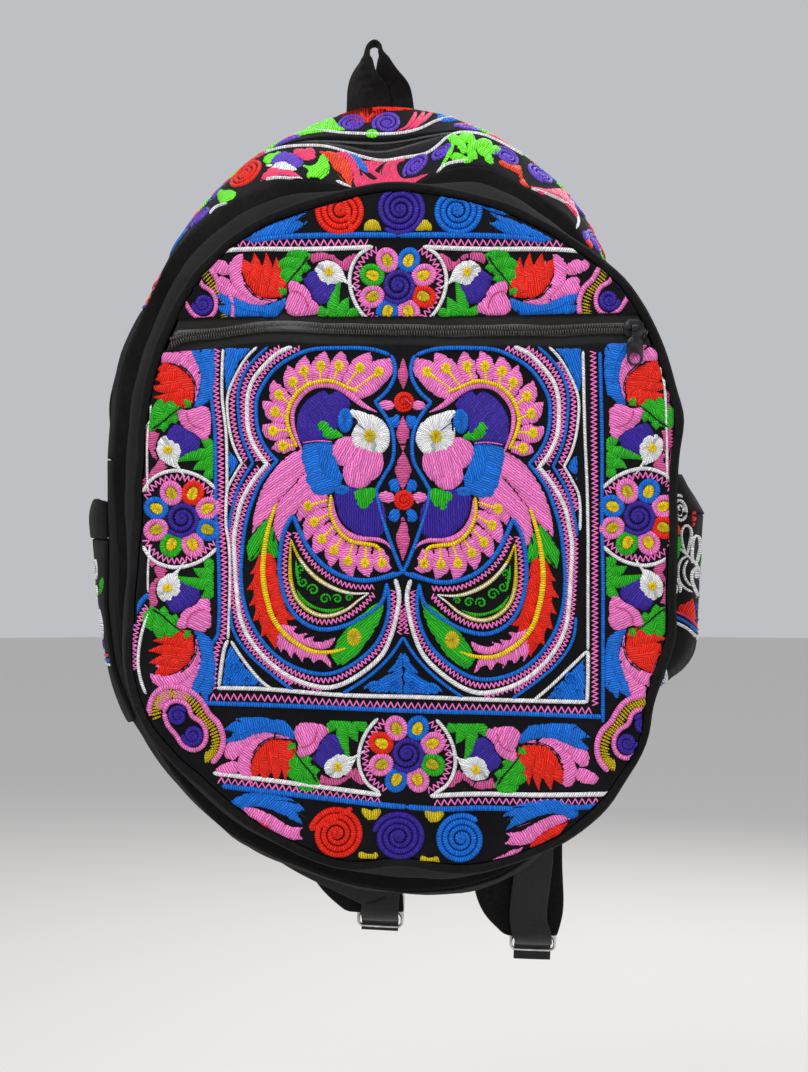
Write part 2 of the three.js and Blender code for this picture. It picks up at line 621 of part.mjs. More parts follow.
function buildSidePocket(side, top, bulge) {
  const right = side === "right";
  const mirrored = (a) => (right ? a : 180 - a);
  const inset = SIDE_POCKET_INSET / BODY_DEPTH;
  const depths = [inset, 0.16, 0.33, 0.5, 0.7, 0.85, 1 - inset];
  const piece = (from, to, extra) => {
    const [low, high] = [mirrored(from), mirrored(to)].sort((a, b) => a - b);
    const shifted = BODY_ANGLES.map((a) => (a > 300 ? a - 360 : a));
    const angles = anglesBetween(low, high, right ? shifted.sort((a, b) => a - b) : BODY_ANGLES);
    return clothWall(depths.length - 1, angles.length - 1, (i, j, face) => {
      const down = (top - mirrored(angles[j])) / SIDE_POCKET_TALL;
      const across = Math.sin((Math.PI * i) / (depths.length - 1)) ** 0.6;
      const stand = bulge * along(SIDE_POCKET_BULGE, "down", down, side) * across;
      const thick = SIDE_POCKET_CLOTH + extra;
      const out = SIDE_POCKET_CLEARANCE + stand + (face === 0 ? thick : 0);
      return bodyPoint(angles[j], depths[i], out);
    });
  };
  const hemEnd = top - HEM_ANGLE;
  add(`side_pocket_hem_${side}`, piece(hemEnd + SEAM_ANGLE, top, HEM_EXTRA), "blackCotton");
  add(`side_pocket_${side}`, piece(top - SIDE_POCKET_TALL, hemEnd - SEAM_ANGLE, 0), "embroidered");
}

// Smooth stations through a table of places.
function refined(table, columns, count) {
  const rows = table.map((row, i) => ({ ...row, order: i }));
  return steps(0, table.length - 1, count).map((order) =>
    Object.fromEntries(columns.map((column) => [column, along(rows, "order", order, column)])),
  );
}

function buildLoop() {
  const rows = refined(LOOP_STATIONS, ["x", "y", "z", "turn", "width"], 26);
  const stations = rows.map((row) => ({
    at: drape(new THREE.Vector3(row.x, row.y, row.z)),
    across: new THREE.Vector3(Math.cos(radians(row.turn)), Math.sin(radians(row.turn)), 0),
    width: LOOP_WIDTH * row.width,
    thick: LOOP_THICK,
    edge: 0.6,
  }));
  add("hang_loop", ribbon(stations), "webbing");
}

function buildStrap(side) {
  const rows = refined(STRAP_ROUTES[side], ["x", "y", "z", "width", "thick"], 24);
  const stations = rows.map((row) => ({
    at: drape(new THREE.Vector3(row.x, row.y, row.z)),
    across: new THREE.Vector3(1, 0, 0),
    width: STRAP_WIDTH * row.width,
    thick: STRAP_THICK * row.thick,
    edge: 0.4,
    level: true,
  }));
  add(`shoulder_strap_${side}`, ribbon(stations), "blackCotton");
}

// A wire of round section through corners in one plane, turned about a centre.
function wireTube(corners, closed) {
  const sides = steps(0, 2 * Math.PI, 6).slice(0, -1);
  const rings = corners.map((corner, i) => {
    const last = corners.length - 1;
    const before = corners[i === 0 ? (closed ? last : 0) : i - 1];
    const after = corners[i === last ? (closed ? 0 : last) : i + 1];
    const tangent = after.clone().sub(before).normalize();
    const inPlane = new THREE.Vector3(0, 1, 0).cross(tangent).normalize();
    return sides.map((turn) =>
      corner
        .clone()
        .addScaledVector(inPlane, WIRE_RADIUS * Math.cos(turn))
        .add(new THREE.Vector3(0, WIRE_RADIUS * Math.sin(turn), 0)),
    );
  });
  return loft(rings, closed);
}

function buildBuckle(side) {
  const { x, z, lean, sewnX, sewnZ, reachX, tail } = BUCKLES[side];
  const route = STRAP_ROUTES[side];
  const end = route.at(-1);
  const strapBack = Math.max(...route.slice(-2).map((row) => row.y + (STRAP_THICK * row.thick) / 2));
  const frameY = strapBack + SEWN_CLEARANCE + WEBBING_THICK + BAR_CLEARANCE + WIRE_RADIUS;
  const place = (u, v, w) => {
    const p = new THREE.Vector3(u, w, v).applyAxisAngle(new THREE.Vector3(0, 1, 0), radians(lean));
    return p.add(new THREE.Vector3(x, frameY, z));
  };
  const round = 3;
  const halfWide = BUCKLE_WIDTH / 2 - WIRE_RADIUS;
  const corners = [
    [halfWide - round, 0, 270],
    [halfWide - round, BUCKLE_HEIGHT - 2 * round, 0],
    [round - halfWide, BUCKLE_HEIGHT - 2 * round, 90],
    [round - halfWide, 0, 180],
  ];
  const frame = corners.flatMap(([u, v, from]) =>
    steps(from, from + 90, 4).map((a) =>
      place(u + round * Math.cos(radians(a)), v + round + round * Math.sin(radians(a)), 0),
    ),
  );
  const middle = BUCKLE_HEIGHT / 2;
  const bar = [place(-halfWide, middle, 0), place(halfWide, middle, 0)];
  add(`strap_buckle_${side}`, joined([wireTube(frame, true), wireTube(bar, false)]), "wire");

  const across = place(1, 0, 0).sub(place(0, 0, 0));
  const turn = WIRE_RADIUS + BAR_CLEARANCE + WEBBING_THICK / 2;
  const keeperPath = [
    [BUCKLE_HEIGHT + KEEPER_LEG, -turn],
    [BUCKLE_HEIGHT + 3, -turn],
    ...steps(180, 360, 5).map((a) => [
      BUCKLE_HEIGHT + turn * Math.sin(radians(a)),
      turn * Math.cos(radians(a)),
    ]),
    [BUCKLE_HEIGHT + 3, turn],
    [BUCKLE_HEIGHT + KEEPER_LEG, turn],
  ];
  const webbing = (at, direction) => ({
    at,
    across: direction,
    width: WEBBING_WIDTH,
    thick: WEBBING_THICK,
    edge: 0.5,
  });
  const keeper = keeperPath.map(([v, w]) => webbing(place(0, v, w), across));
  add(`strap_keeper_${side}`, ribbon(keeper), "webbing");

  // The webbing runs down from the back panel, in front of the strap's end, through the
  // lower half of the buckle and out behind its lowest bar.
  const sewnY = BACK_PANEL_OUT_Y + SEWN_CLEARANCE + WEBBING_THICK / 2;
  const strapFront = end.y - (STRAP_THICK * end.thick) / 2;
  const frontY = strapFront - 3 - frameY;
  const passZ = z + middle / 2;
  const path = [
    { at: new THREE.Vector3(sewnX, sewnY, sewnZ), slant: 0.3 },
    { at: new THREE.Vector3(lerp(sewnX, reachX, 0.25), sewnY, sewnZ - 14), slant: 0.3 },
    { at: new THREE.Vector3(lerp(sewnX, reachX, 0.9), sewnY + 3, lerp(sewnZ, passZ, 0.5)), slant: 0.6 },
    { at: place(-4, middle + 12, frontY), slant: 0.9 },
    { at: place(-1, middle, frontY + 0.2), slant: 1 },
    { at: place(0, middle / 2 - 0.2, lerp(frontY, 0, 0.4)), slant: 1 },
    { at: place(0, middle / 2 - 0.4, -0.8), slant: 1 },
    { at: place(0, 1.6, turn + 0.2), slant: 1 },
    { at: place(0, -tail / 2, turn + 0.8), slant: 1 },
    { at: place(0, -tail, turn + 0.6), slant: 1 },
  ];
  const rows = path.map(({ at, slant }) => ({ x: at.x, y: at.y, z: at.z, slant }));
  const stations = refined(rows, ["x", "y", "z"], 27).map((row) => new THREE.Vector3(row.x, row.y, row.z));
  const ring = stations.map((at, i) => {
    const before = stations[Math.max(i - 1, 0)];
    const after = stations[Math.min(i + 1, stations.length - 1)];
    const run = after.clone().sub(before);
    const flat = new THREE.Vector3(-run.z, 0, run.x).normalize();
    const settle = THREE.MathUtils.smoothstep(i / (stations.length - 1), 0.3, 0.5);
    return webbing(drape(at), flat.lerp(across, settle).normalize());
  });
  add(`strap_webbing_${side}`, ribbon(ring), "webbing");
}

// An extruded plate whose thickness is centred on the plane of its shape.
function plate(shape, thick) {
  const geometry = new THREE.ExtrudeGeometry(shape, { depth: thick, bevelEnabled: false, curveSegments: 8 });
  geometry.translate(0, 0, -thick / 2);
  return geometry;
}

function shapeFrom(points) {
  const shape = new THREE.Shape();
  points.forEach(([u, v], i) => (i === 0 ? shape.moveTo(u, v) : shape.lineTo(u, v)));
  shape.closePath();
  return shape;
}

function box(wide, tall, deep, u, v, w) {
  return new THREE.BoxGeometry(wide, tall, deep).translate(u, v, w);
}

// A slider and its pull about the middle of the bail's bar. The bar runs along u, the pull
// hangs along -v and the zip is at -w. travel is the way that the slider runs.
function buildSlider(name, travel, at, tilt, turned) {
  const long = travel === "u" ? SLIDER_LONG : SLIDER_WIDE;
  const tall = travel === "u" ? SLIDER_WIDE : SLIDER_LONG;
  const cut = 2;
  const outline = shapeFrom([
    [-long / 2 + cut, -tall / 2],
    [long / 2 - cut, -tall / 2],
    [long / 2, -tall / 2 + cut],
    [long / 2, tall / 2 - cut],
    [long / 2 - cut, tall / 2],
    [-long / 2 + cut, tall / 2],
    [-long / 2, tall / 2 - cut],
    [-long / 2, -tall / 2 + cut],
  ]);
  const body = plate(outline, SLIDER_PLATE).translate(0, 0, -BAIL_RISE - SLIDER_PLATE / 2);
  const postAt = EYE_WIDE / 2 + 0.4 + BAIL_POST / 2;
  const postTall = BAIL_RISE + BAIL_RADIUS + SLIDER_PLATE / 2;
  const postMiddle = BAIL_RADIUS - postTall / 2;
  const post = (u) => box(BAIL_POST, 2 * BAIL_RADIUS, postTall, u, 0, postMiddle);
  const bar = new THREE.CylinderGeometry(BAIL_RADIUS, BAIL_RADIUS, 2 * postAt, 12);
  bar.rotateZ(Math.PI / 2);
  const slider = joined([body, post(-postAt), post(postAt), bar]);

  const ring = new THREE.Shape();
  ring.absarc(0, 0, EYE_OUTER, 0, 2 * Math.PI);
  const hole = new THREE.Path();
  hole.absarc(0, 0, EYE_INNER, 0, 2 * Math.PI, true);
  ring.holes.push(hole);
  const eye = plate(ring, EYE_WIDE);
  eye.rotateY(Math.PI / 2);
  const half = PULL_WIDE / 2;
  const foot = -PULL_LONG + half;
  const tab = new THREE.Shape();
  tab.moveTo(-EYE_WIDE / 2, -EYE_INNER - 0.4);
  tab.lineTo(-EYE_WIDE / 2, -4.2);
  tab.lineTo(-half, -6);
  tab.lineTo(-half, foot);
  tab.absarc(0, foot, half, Math.PI, 2 * Math.PI);
  tab.lineTo(half, -6);
  tab.lineTo(EYE_WIDE / 2, -4.2);
  tab.lineTo(EYE_WIDE / 2, -EYE_INNER - 0.4);
  tab.closePath();
  const round = new THREE.Path();
  round.absarc(0, foot, PULL_HOLE, 0, 2 * Math.PI, true);
  tab.holes.push(round);
  const pull = joined([eye, plate(tab, PULL_THICK)]);

  const upright = new THREE.Matrix4().makeRotationX(Math.PI / 2);
  const facing = new THREE.Matrix4().makeRotationZ(radians(turned));
  const leaning = new THREE.Matrix4().makeRotationX(radians(tilt));
  const placed = new THREE.Matrix4().makeTranslation(at);
  const whole = (geometry, lean) => {
    geometry.applyMatrix4(upright);
    if (lean) geometry.applyMatrix4(leaning);
    return geometry.applyMatrix4(facing).applyMatrix4(placed);
  };
  add(`${name}_slider`, whole(slider, true), "darkMetal");
  add(`${name}_pull`, whole(pull, false), "darkMetal");
}

function buildSliders() {
  const pocketY = TAPE_FRONT_Y - SEAM_GAP - COIL_HIGH - SLIDER_LIFT - SLIDER_PLATE - BAIL_RISE;
  const onPocket = drape(new THREE.Vector3(POCKET_SLIDER_X, PIPING_Y, ZIP_LINE_Z));
  onPocket.y += pocketY - PIPING_Y;
  buildSlider("pocket_zip", "u", onPocket, 0, 0);

  const stand = -CLOTH - TAPE_CLEARANCE + SEAM_GAP + COIL_HIGH + SLIDER_LIFT + SLIDER_PLATE + BAIL_RISE;
  const depth = (BACK_STRIP + ZIP_OPEN / 2) / BODY_DEPTH;
  const onMain = drape(bodyPoint(MAIN_SLIDER_AT, depth, stand));
  const below = drape(bodyPoint(MAIN_SLIDER_AT - 2, depth, stand));
  const above = drape(bodyPoint(MAIN_SLIDER_AT + 2, depth, stand));
  const slope = above.sub(below);
  const tilt = THREE.MathUtils.radToDeg(Math.atan2(-slope.x, slope.z));
  buildSlider("main_zip", "v", onMain, -tilt, 90);
}

buildBody();
buildArch();
buildPocket();
buildPocketFaces();
buildPocketZip();
buildSidePocket("right", RIGHT_POCKET_TOP, RIGHT_POCKET_BULGE);
buildSidePocket("left", LEFT_POCKET_TOP, LEFT_POCKET_BULGE);
buildLoop();
for (const side of ["left", "right"]) {
  buildStrap(side);
  buildBuckle(side);
}
buildSliders();

export default bag;
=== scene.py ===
import math

import bmesh
import bpy
import numpy as np
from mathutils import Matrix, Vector
from mathutils.bvhtree import BVHTree
from mathutils.geometry import delaunay_2d_cdt


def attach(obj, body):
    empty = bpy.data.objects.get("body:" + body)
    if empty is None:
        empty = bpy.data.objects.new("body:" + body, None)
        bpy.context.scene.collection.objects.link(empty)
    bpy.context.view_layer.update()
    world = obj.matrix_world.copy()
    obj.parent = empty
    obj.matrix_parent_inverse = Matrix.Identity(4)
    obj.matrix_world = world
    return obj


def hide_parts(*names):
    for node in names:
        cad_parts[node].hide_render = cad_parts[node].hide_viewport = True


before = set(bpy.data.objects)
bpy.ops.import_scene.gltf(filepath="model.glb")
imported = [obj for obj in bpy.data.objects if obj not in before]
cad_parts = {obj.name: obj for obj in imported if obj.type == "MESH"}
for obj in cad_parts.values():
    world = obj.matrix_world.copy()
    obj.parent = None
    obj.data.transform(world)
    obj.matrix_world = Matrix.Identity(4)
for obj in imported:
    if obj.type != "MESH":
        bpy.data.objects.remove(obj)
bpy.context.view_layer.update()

MM = 0.001
BAG = "bag"
rng = np.random.default_rng(7)

# The camera stands level in front of the bag, in millimetres. MIDDLE_PX is what it looks at.
CAMERA = (16.2, -1120.0, -275.5)
FIELD = math.radians(30.0)
PHOTO_HEIGHT = 1072
MIDDLE_PX = (404.0, 536.0)
# the middle of the bag's outline, which the gusset runs round
CENTRE_X, CENTRE_Z = 5, -270


def linear(rgb):
    """A colour seen in the photograph (0 to 255) as the linear colour that a shader takes."""
    c = np.array(rgb, float) / 255
    return tuple(np.where(c <= 0.04045, c / 12.92, ((c + 0.055) / 1.055) ** 2.4)) + (1.0,)


# Materials

def new_material(name):
    """A material and the function that adds a node to it and links or sets its inputs."""
    material = bpy.data.materials.new(name)
    material.use_nodes = True
    tree = material.node_tree
    tree.nodes.clear()

    def add(kind, inputs, **settings):
        node = tree.nodes.new(kind)
        for key, value in settings.items():
            setattr(node, key, value)
        for key, value in inputs.items():
            socket = node.inputs[key]
            if isinstance(value, bpy.types.NodeSocket):
                tree.links.new(value, socket)
            else:
                socket.default_value = value
        return node

    return material, add


def ramp(add, factor, stops):
    node = add("ShaderNodeValToRGB", {"Fac": factor})
    ends = node.color_ramp.elements
    while len(ends) < len(stops):
        ends.new(0.5)
    for element, (at, colour) in zip(ends, stops):
        element.position = at
        element.color = colour
    return node.outputs["Color"]


def place_of(add):
    return add("ShaderNodeTexCoord", {}).outputs["Object"]


def noise(add, place, scale, detail=2.0, rough=0.5):
    return add("ShaderNodeTexNoise", {"Vector": place, "Scale": scale, "Detail": detail,
                                      "Roughness": rough}).outputs["Fac"]


def bands(add, place, scale, distortion, detail, direction):
    return add("ShaderNodeTexWave", {"Vector": place, "Scale": scale, "Distortion": distortion,
                                     "Detail": detail}, wave_type="BANDS",
               bands_direction=direction).outputs["Fac"]


def maths(add, kind, *values):
    return add("ShaderNodeMath", dict(enumerate(values)), operation=kind).outputs["Value"]


def spread(add, value, low, high, start=0.0, end=1.0):
    """The value's stretch from start to end, spread from low to high."""
    return add("ShaderNodeMapRange", {"Value": value, 1: start, 2: end, 3: low,
                                      4: high}).outputs[0]


def finish_surface(add, colour, rough, height=None, bump=0.4, depth=0.0004, **constants):
    inputs = {"Base Color": colour, "Roughness": rough}
    inputs.update({key.replace("_", " "): value for key, value in constants.items()})
    if height is not None:
        relief = add("ShaderNodeBump", {"Strength": bump, "Distance": depth, "Height": height})
        inputs["Normal"] = relief.outputs["Normal"]
    shader = add("ShaderNodeBsdfPrincipled", inputs)
    add("ShaderNodeOutputMaterial", {"Surface": shader.outputs["BSDF"]})


def cotton(name, dark, light, weave=1500.0, lint=0.03):
    """Plain-woven black cotton: two crossed sets of threads, slubs, faded patches and lint."""
    material, add = new_material(name)
    place = place_of(add)
    warp = bands(add, place, weave, 0.6, 1.0, "X")
    weft = bands(add, place, weave, 0.6, 1.0, "Z")
    slub = noise(add, place, 420.0, 4.0, 0.65)
    fade = noise(add, place, 22.0, 5.0, 0.55)
    colour = ramp(add, maths(add, "MULTIPLY", slub, fade),
                  [(0.12, linear(dark)), (0.46, linear(light))])
    height = maths(add, "ADD", maths(add, "MAXIMUM", warp, weft), slub)
    finish_surface(add, colour, spread(add, slub, 0.78, 0.98), height, 0.55, 0.0003,
                   Sheen_Weight=lint, Sheen_Roughness=0.5, Specular_IOR_Level=0.12)
    return material


def thread(name, rgb, shine=0.05, pitch=1.15):
    """Embroidery floss laid side by side, its colour painted with shade in the grooves between
    threads and a highlight on each crest. The piece's UV runs across the threads, in millimetres.
    """
    material, add = new_material(name)
    uv = add("ShaderNodeUVMap", {}, uv_map="threads").outputs["UV"]
    split = add("ShaderNodeSeparateXYZ", {"Vector": uv})
    wander = maths(add, "MULTIPLY", noise(add, uv, 0.45), 1.6)
    along = maths(add, "ADD", split.outputs["X"], wander)
    wave = maths(add, "SINE", maths(add, "MULTIPLY", along, math.pi / pitch))
    high = maths(add, "ABSOLUTE", wave)
    which = maths(add, "FLOOR", maths(add, "DIVIDE", along, pitch))
    pick = add("ShaderNodeTexWhiteNoise", {"W": which}, noise_dimensions="1D")
    stretch = maths(add, "MULTIPLY", split.outputs["Y"], 0.12)
    fibre_at = add("ShaderNodeCombineXYZ", {"X": along, "Y": stretch})
    fibre = noise(add, fibre_at.outputs["Vector"], 5.0, 3.0)
    # the groove between threads, darkened to a quarter of the thread's colour: partly the black
    # ground showing, partly painted shade
    between = linear([v * 0.24 for v in rgb])
    # painted highlight: each thread's crest a little lighter than its own colour
    bright = linear([min(255, v * 1.08 + 4) for v in rgb])
    # painted shading of each thread's round, from painted shade in the groove to a painted highlight
    # on the crest
    base = ramp(add, high, [(0.0, between), (0.48, linear(rgb)), (1.0, bright)])
    tint = maths(add, "ADD", pick.outputs["Value"], fibre)
    colour = add("ShaderNodeVectorMath", {0: base, 1: spread(add, tint, 0.74, 1.12, 0.3, 1.6)},
                 operation="MULTIPLY")
    finish_surface(add, colour.outputs["Vector"], 0.42, maths(add, "ADD", high, fibre), 0.9,
                   0.00045, Sheen_Weight=shine, Sheen_Roughness=0.35, Specular_IOR_Level=0.22)
    return material


def metal(name, rgb, rough, wear):
    material, add = new_material(name)
    place = place_of(add)
    smudge = noise(add, place, 160.0, 6.0, 0.6)
    colour = ramp(add, smudge, [(0.3, linear([v * 0.7 for v in rgb])), (0.62, linear(rgb)),
                                (0.8, linear(wear))])
    finish_surface(add, colour, spread(add, smudge, rough * 0.7, rough * 1.5),
                   noise(add, place, 900.0), 0.15, 0.0001, Metallic=1.0)
    return material


def ribbed(name, dark, light, rib):
    """Webbing or zip tape: close ribs with a slight fleck."""
    material, add = new_material(name)
    place = place_of(add)
    ribs = bands(add, place, rib, 0.8, 1.5, "Z")
    across = bands(add, place, rib * 0.8, 0.4, 2.0, "X")
    mixed = maths(add, "ADD", maths(add, "MULTIPLY", ribs, across), noise(add, place, 500.0, 3.0))
    colour = ramp(add, mixed, [(0.25, linear(dark)), (1.0, linear(light))])
    finish_surface(add, colour, 0.72, mixed, 0.6, 0.0004, Sheen_Weight=0.25,
                   Specular_IOR_Level=0.35)
    return material


def plastic(name, dark, light, rough):
    material, add = new_material(name)
    grain = noise(add, place_of(add), 700.0, 3.0)
    colour = ramp(add, grain, [(0.3, linear(dark)), (0.75, linear(light))])
    finish_surface(add, colour, rough, grain, 0.25, 0.0002)
    return material


def plain(name, rgb):
    material, add = new_material(name)
    finish_surface(add, linear(rgb), 0.9)
    return material


BLACK = cotton("black_cotton", (6, 6, 7), (30, 28, 29))
DUSTY = cotton("black_cotton_dusty", (8, 8, 8), (34, 31, 31), lint=0.06)
GROUND = cotton("embroidery_ground", (5, 5, 8), (22, 21, 26), weave=1900.0, lint=0.04)
TAPE = ribbed("zip_tape", (6, 6, 7), (30, 29, 29), 900.0)
WEB = ribbed("webbing", (6, 6, 7), (34, 33, 33), 620.0)
COIL = plastic("zip_coil", (10, 10, 11), (44, 43, 42), 0.42)
# the zip teeth are black plastic; the lighter stop that the grain scatters over them is painted
# glints
TEETH_PAINTED_GLINTS = plastic("zip_teeth", (20, 20, 20), (72, 68, 62), 0.3)
GUNMETAL = metal("dark_metal", (62, 62, 64), 0.36, (120, 120, 122))
WIRE = metal("bright_wire", (205, 205, 208), 0.22, (235, 235, 235))
BLACK_THREAD = thread("thread_black", (44, 42, 44), shine=0.2, pitch=0.9)

COLOURS = { "seam": (58, 55, 56), "gap": (8, 8, 10), "pink": (248, 120, 194), "mauve":
    (206, 82, 142), "hot": (246, 56, 106), "blue": (0, 106, 212), "purple": (50, 28, 148), "violet":
    (96, 60, 196), "green": (34, 172, 22), "lime": (104, 238, 30), "red": (238, 30, 4), "orange":
    (238, 58, 8), "white": (252, 252, 255), "yellow": (255, 206, 10), "mustard": (208, 184, 14), }
THREADS = {key: thread("thread_" + key, rgb) for key, rgb in COLOURS.items()}


# Meshes

def link(name, data):
    obj = bpy.data.objects.new(name, data)
    bpy.context.scene.collection.objects.link(obj)
    return obj


def new_piece(name, verts, faces, material, uv=None):
    mesh = bpy.data.meshes.new(name)
    mesh.from_pydata([tuple(v) for v in np.asarray(verts, float) * MM], [],
                     [tuple(int(i) for i in f) for f in faces])
    if uv is not None:
        layer = mesh.uv_layers.new(name="threads")
        index = np.zeros(len(mesh.loops), np.int32)
        mesh.loops.foreach_get("vertex_index", index)
        layer.data.foreach_set("uv", np.asarray(uv, np.float32)[index].ravel())
    obj = link(name, mesh)
    mesh.materials.append(material)
    mesh.shade_smooth()
    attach(obj, BAG)


def points_of(mesh):
    co = np.zeros(len(mesh.vertices) * 3, np.float32)
    mesh.vertices.foreach_get("co", co)
    return co.reshape(-1, 3).astype(float) / MM


def set_points(mesh, co):
    mesh.vertices.foreach_set("co", (np.asarray(co) * MM).astype(np.float32).ravel())
    mesh.update()


SHARP_EDGE = 38.0
WAVES = [(rng.normal(size=3), rng.uniform(0, 6.28), rng.uniform(0.4, 1.0)) for _ in range(16)]


def swell(p, length, seed=0):
    """Smooth random unevenness from -1 to 1 at each point, with about that wavelength in mm."""
    total = np.zeros(len(p))
    for i, (k, phase, weight) in enumerate(WAVES):
        k = np.roll(k, seed)
        k = k / np.linalg.norm(k) * (6.28 / length) * (0.7 + 0.6 * weight)
        total += weight * np.sin(p @ k + phase + seed * 1.7 + i)
    return total / 4.0


def give(p):
    """How the cloth of the whole bag gives: the same small move for every piece at a place,
    so that neighbouring pieces keep their seams."""
    move = np.zeros_like(p)
    move[:, 0] = 1.3 * swell(p, 62, 1) + 0.5 * swell(p, 24, 2)
    move[:, 1] = 1.2 * swell(p, 70, 3) + 0.4 * swell(p, 26, 4)
    move[:, 2] = 0.9 * swell(p, 66, 5) + 0.35 * swell(p, 23, 6)
    # upright folds down the gusset's sides and puckers under its curve
    side = np.clip((np.abs(p[:, 0] - 5) - 95) / 30, 0, 1)
    fold = np.sin(p[:, 1] * 0.16 + 1.8 * swell(p * (1, 1, 0.4), 60, 7))
    move[:, 0] += side * np.sign(p[:, 0] - 5) * 1.3 * fold
    return move


def rounded(node, crease):
    """A CAD node's shape with its facets smoothed away and its edges kept: a mesh."""
    bm = bmesh.new()
    bm.from_mesh(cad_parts[node].data)
    bmesh.ops.remove_doubles(bm, verts=bm.verts, dist=2e-6)
    bmesh.ops.join_triangles(bm, faces=bm.faces, angle_face_threshold=0.8,
                             angle_shape_threshold=0.9)
    marks = bm.edges.layers.float.get("crease_edge") or bm.edges.layers.float.new("crease_edge")
    for edge in bm.edges:
        if len(edge.link_faces) == 2 and edge.calc_face_angle(0) > math.radians(SHARP_EDGE):
            edge[marks] = crease
    base = bpy.data.meshes.new(node + "_base")
    bm.to_mesh(base)
    bm.free()
    holder = link(node + "_base", base)
    subdivide = holder.modifiers.new("smooth", "SUBSURF")
    subdivide.levels = subdivide.render_levels = 2
    bpy.context.view_layer.update()
    graph = bpy.context.evaluated_depsgraph_get()
    mesh = bpy.data.meshes.new_from_object(holder.evaluated_get(graph))
    bpy.data.objects.remove(holder)
    bpy.data.meshes.remove(base)
    return mesh


def made_from(node, name, material, crease=0.75, soft=True, body=BAG):
    mesh = rounded(node, crease)
    mesh.name = name
    if soft:
        co = points_of(mesh)
        set_points(mesh, co + give(co))
    mesh.materials.clear()
    mesh.materials.append(material)
    mesh.shade_smooth()
    obj = link(name, mesh)
    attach(obj, body)
    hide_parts(node)
    return obj


def tree_of(*objects):
    verts, faces = [], []
    for obj in objects:
        obj.data.calc_loop_triangles()
        faces += [tuple(i + len(verts) for i in t.vertices) for t in obj.data.loop_triangles]
        verts += [v.co.copy() for v in obj.data.vertices]
    return BVHTree.FromPolygons(verts, faces)


# The cloth

cloth = {}
for node in ("base_gusset", "side_strip_left_back", "side_strip_left_front",
             "side_strip_right_back", "side_strip_right_front", "back_panel", "front_panel",
             "pocket_band", "pocket_piping"):
    cloth[node] = made_from(node, node + "_cloth", BLACK)
for node in ("side_pocket_left", "side_pocket_right", "side_pocket_hem_left",
             "side_pocket_hem_right", "hang_loop"):
    cloth[node] = made_from(node, node + "_cloth", DUSTY)
# the hanging loop's legs lie against each other: its eye is only as wide as the hook was
eye = points_of(cloth["hang_loop"].data)
reach = np.interp(eye[:, 2], (-24, -15, -5, -2), (0, 1, 1, 0))
legs = np.interp(np.abs(eye[:, 0]), (0, 3, 7, 12, 30), (0, 1.3, 7.9, 12.4, 30))
eye[:, 0] += np.sign(eye[:, 0]) * reach * (legs - np.abs(eye[:, 0]))
set_points(cloth["hang_loop"].data, eye)
for node in ("arch_strip_back", "arch_strip_front", "pocket_face_lower", "pocket_face_upper"):
    cloth[node] = made_from(node, node + "_cloth", GROUND)
for node in ("main_zip_tape", "pocket_zip_tape"):
    cloth[node] = made_from(node, node + "_cloth", TAPE)
for node in ("main_zip_coil", "pocket_zip_coil"):
    cloth[node] = made_from(node, node + "_cloth", COIL)
for side in ("left", "right"):
    strap = made_from("shoulder_strap_" + side, "shoulder_pad_" + side, BLACK,
                      crease=0.35, soft=False)
    cloth["shoulder_strap_" + side] = strap
    made_from("strap_webbing_" + side, "strap_web_" + side, WEB, soft=False)
    made_from("strap_keeper_" + side, "strap_tab_" + side, WEB, soft=False)
    made_from("strap_buckle_" + side, "strap_ring_" + side, WIRE, soft=False,
              crease=0.0)
made_from("pocket_zip_slider", "pocket_slider", GUNMETAL, soft=False)
made_from("main_zip_slider", "main_slider", GUNMETAL, soft=False)
made_from("pocket_zip_pull", "pocket_pull_tab", GUNMETAL, soft=False,
          body="pocket_pull")
made_from("main_zip_pull", "main_pull_tab", GUNMETAL, soft=False,
          body="main_pull")


# The embroidery kit. Patterns are drawn in pixels of the photograph, half a millimetre each.

SCALE = 2 * math.tan(FIELD / 2) / PHOTO_HEIGHT


def seen_at(px, y):
    """Where a pixel's line of sight crosses the upright plane at depth y, as (x, z)."""
    s = (y - CAMERA[1]) * SCALE
    return np.stack([CAMERA[0] + (px[:, 0] - MIDDLE_PX[0]) * s,
                     CAMERA[2] + (MIDDLE_PX[1] - px[:, 1]) * s], 1)


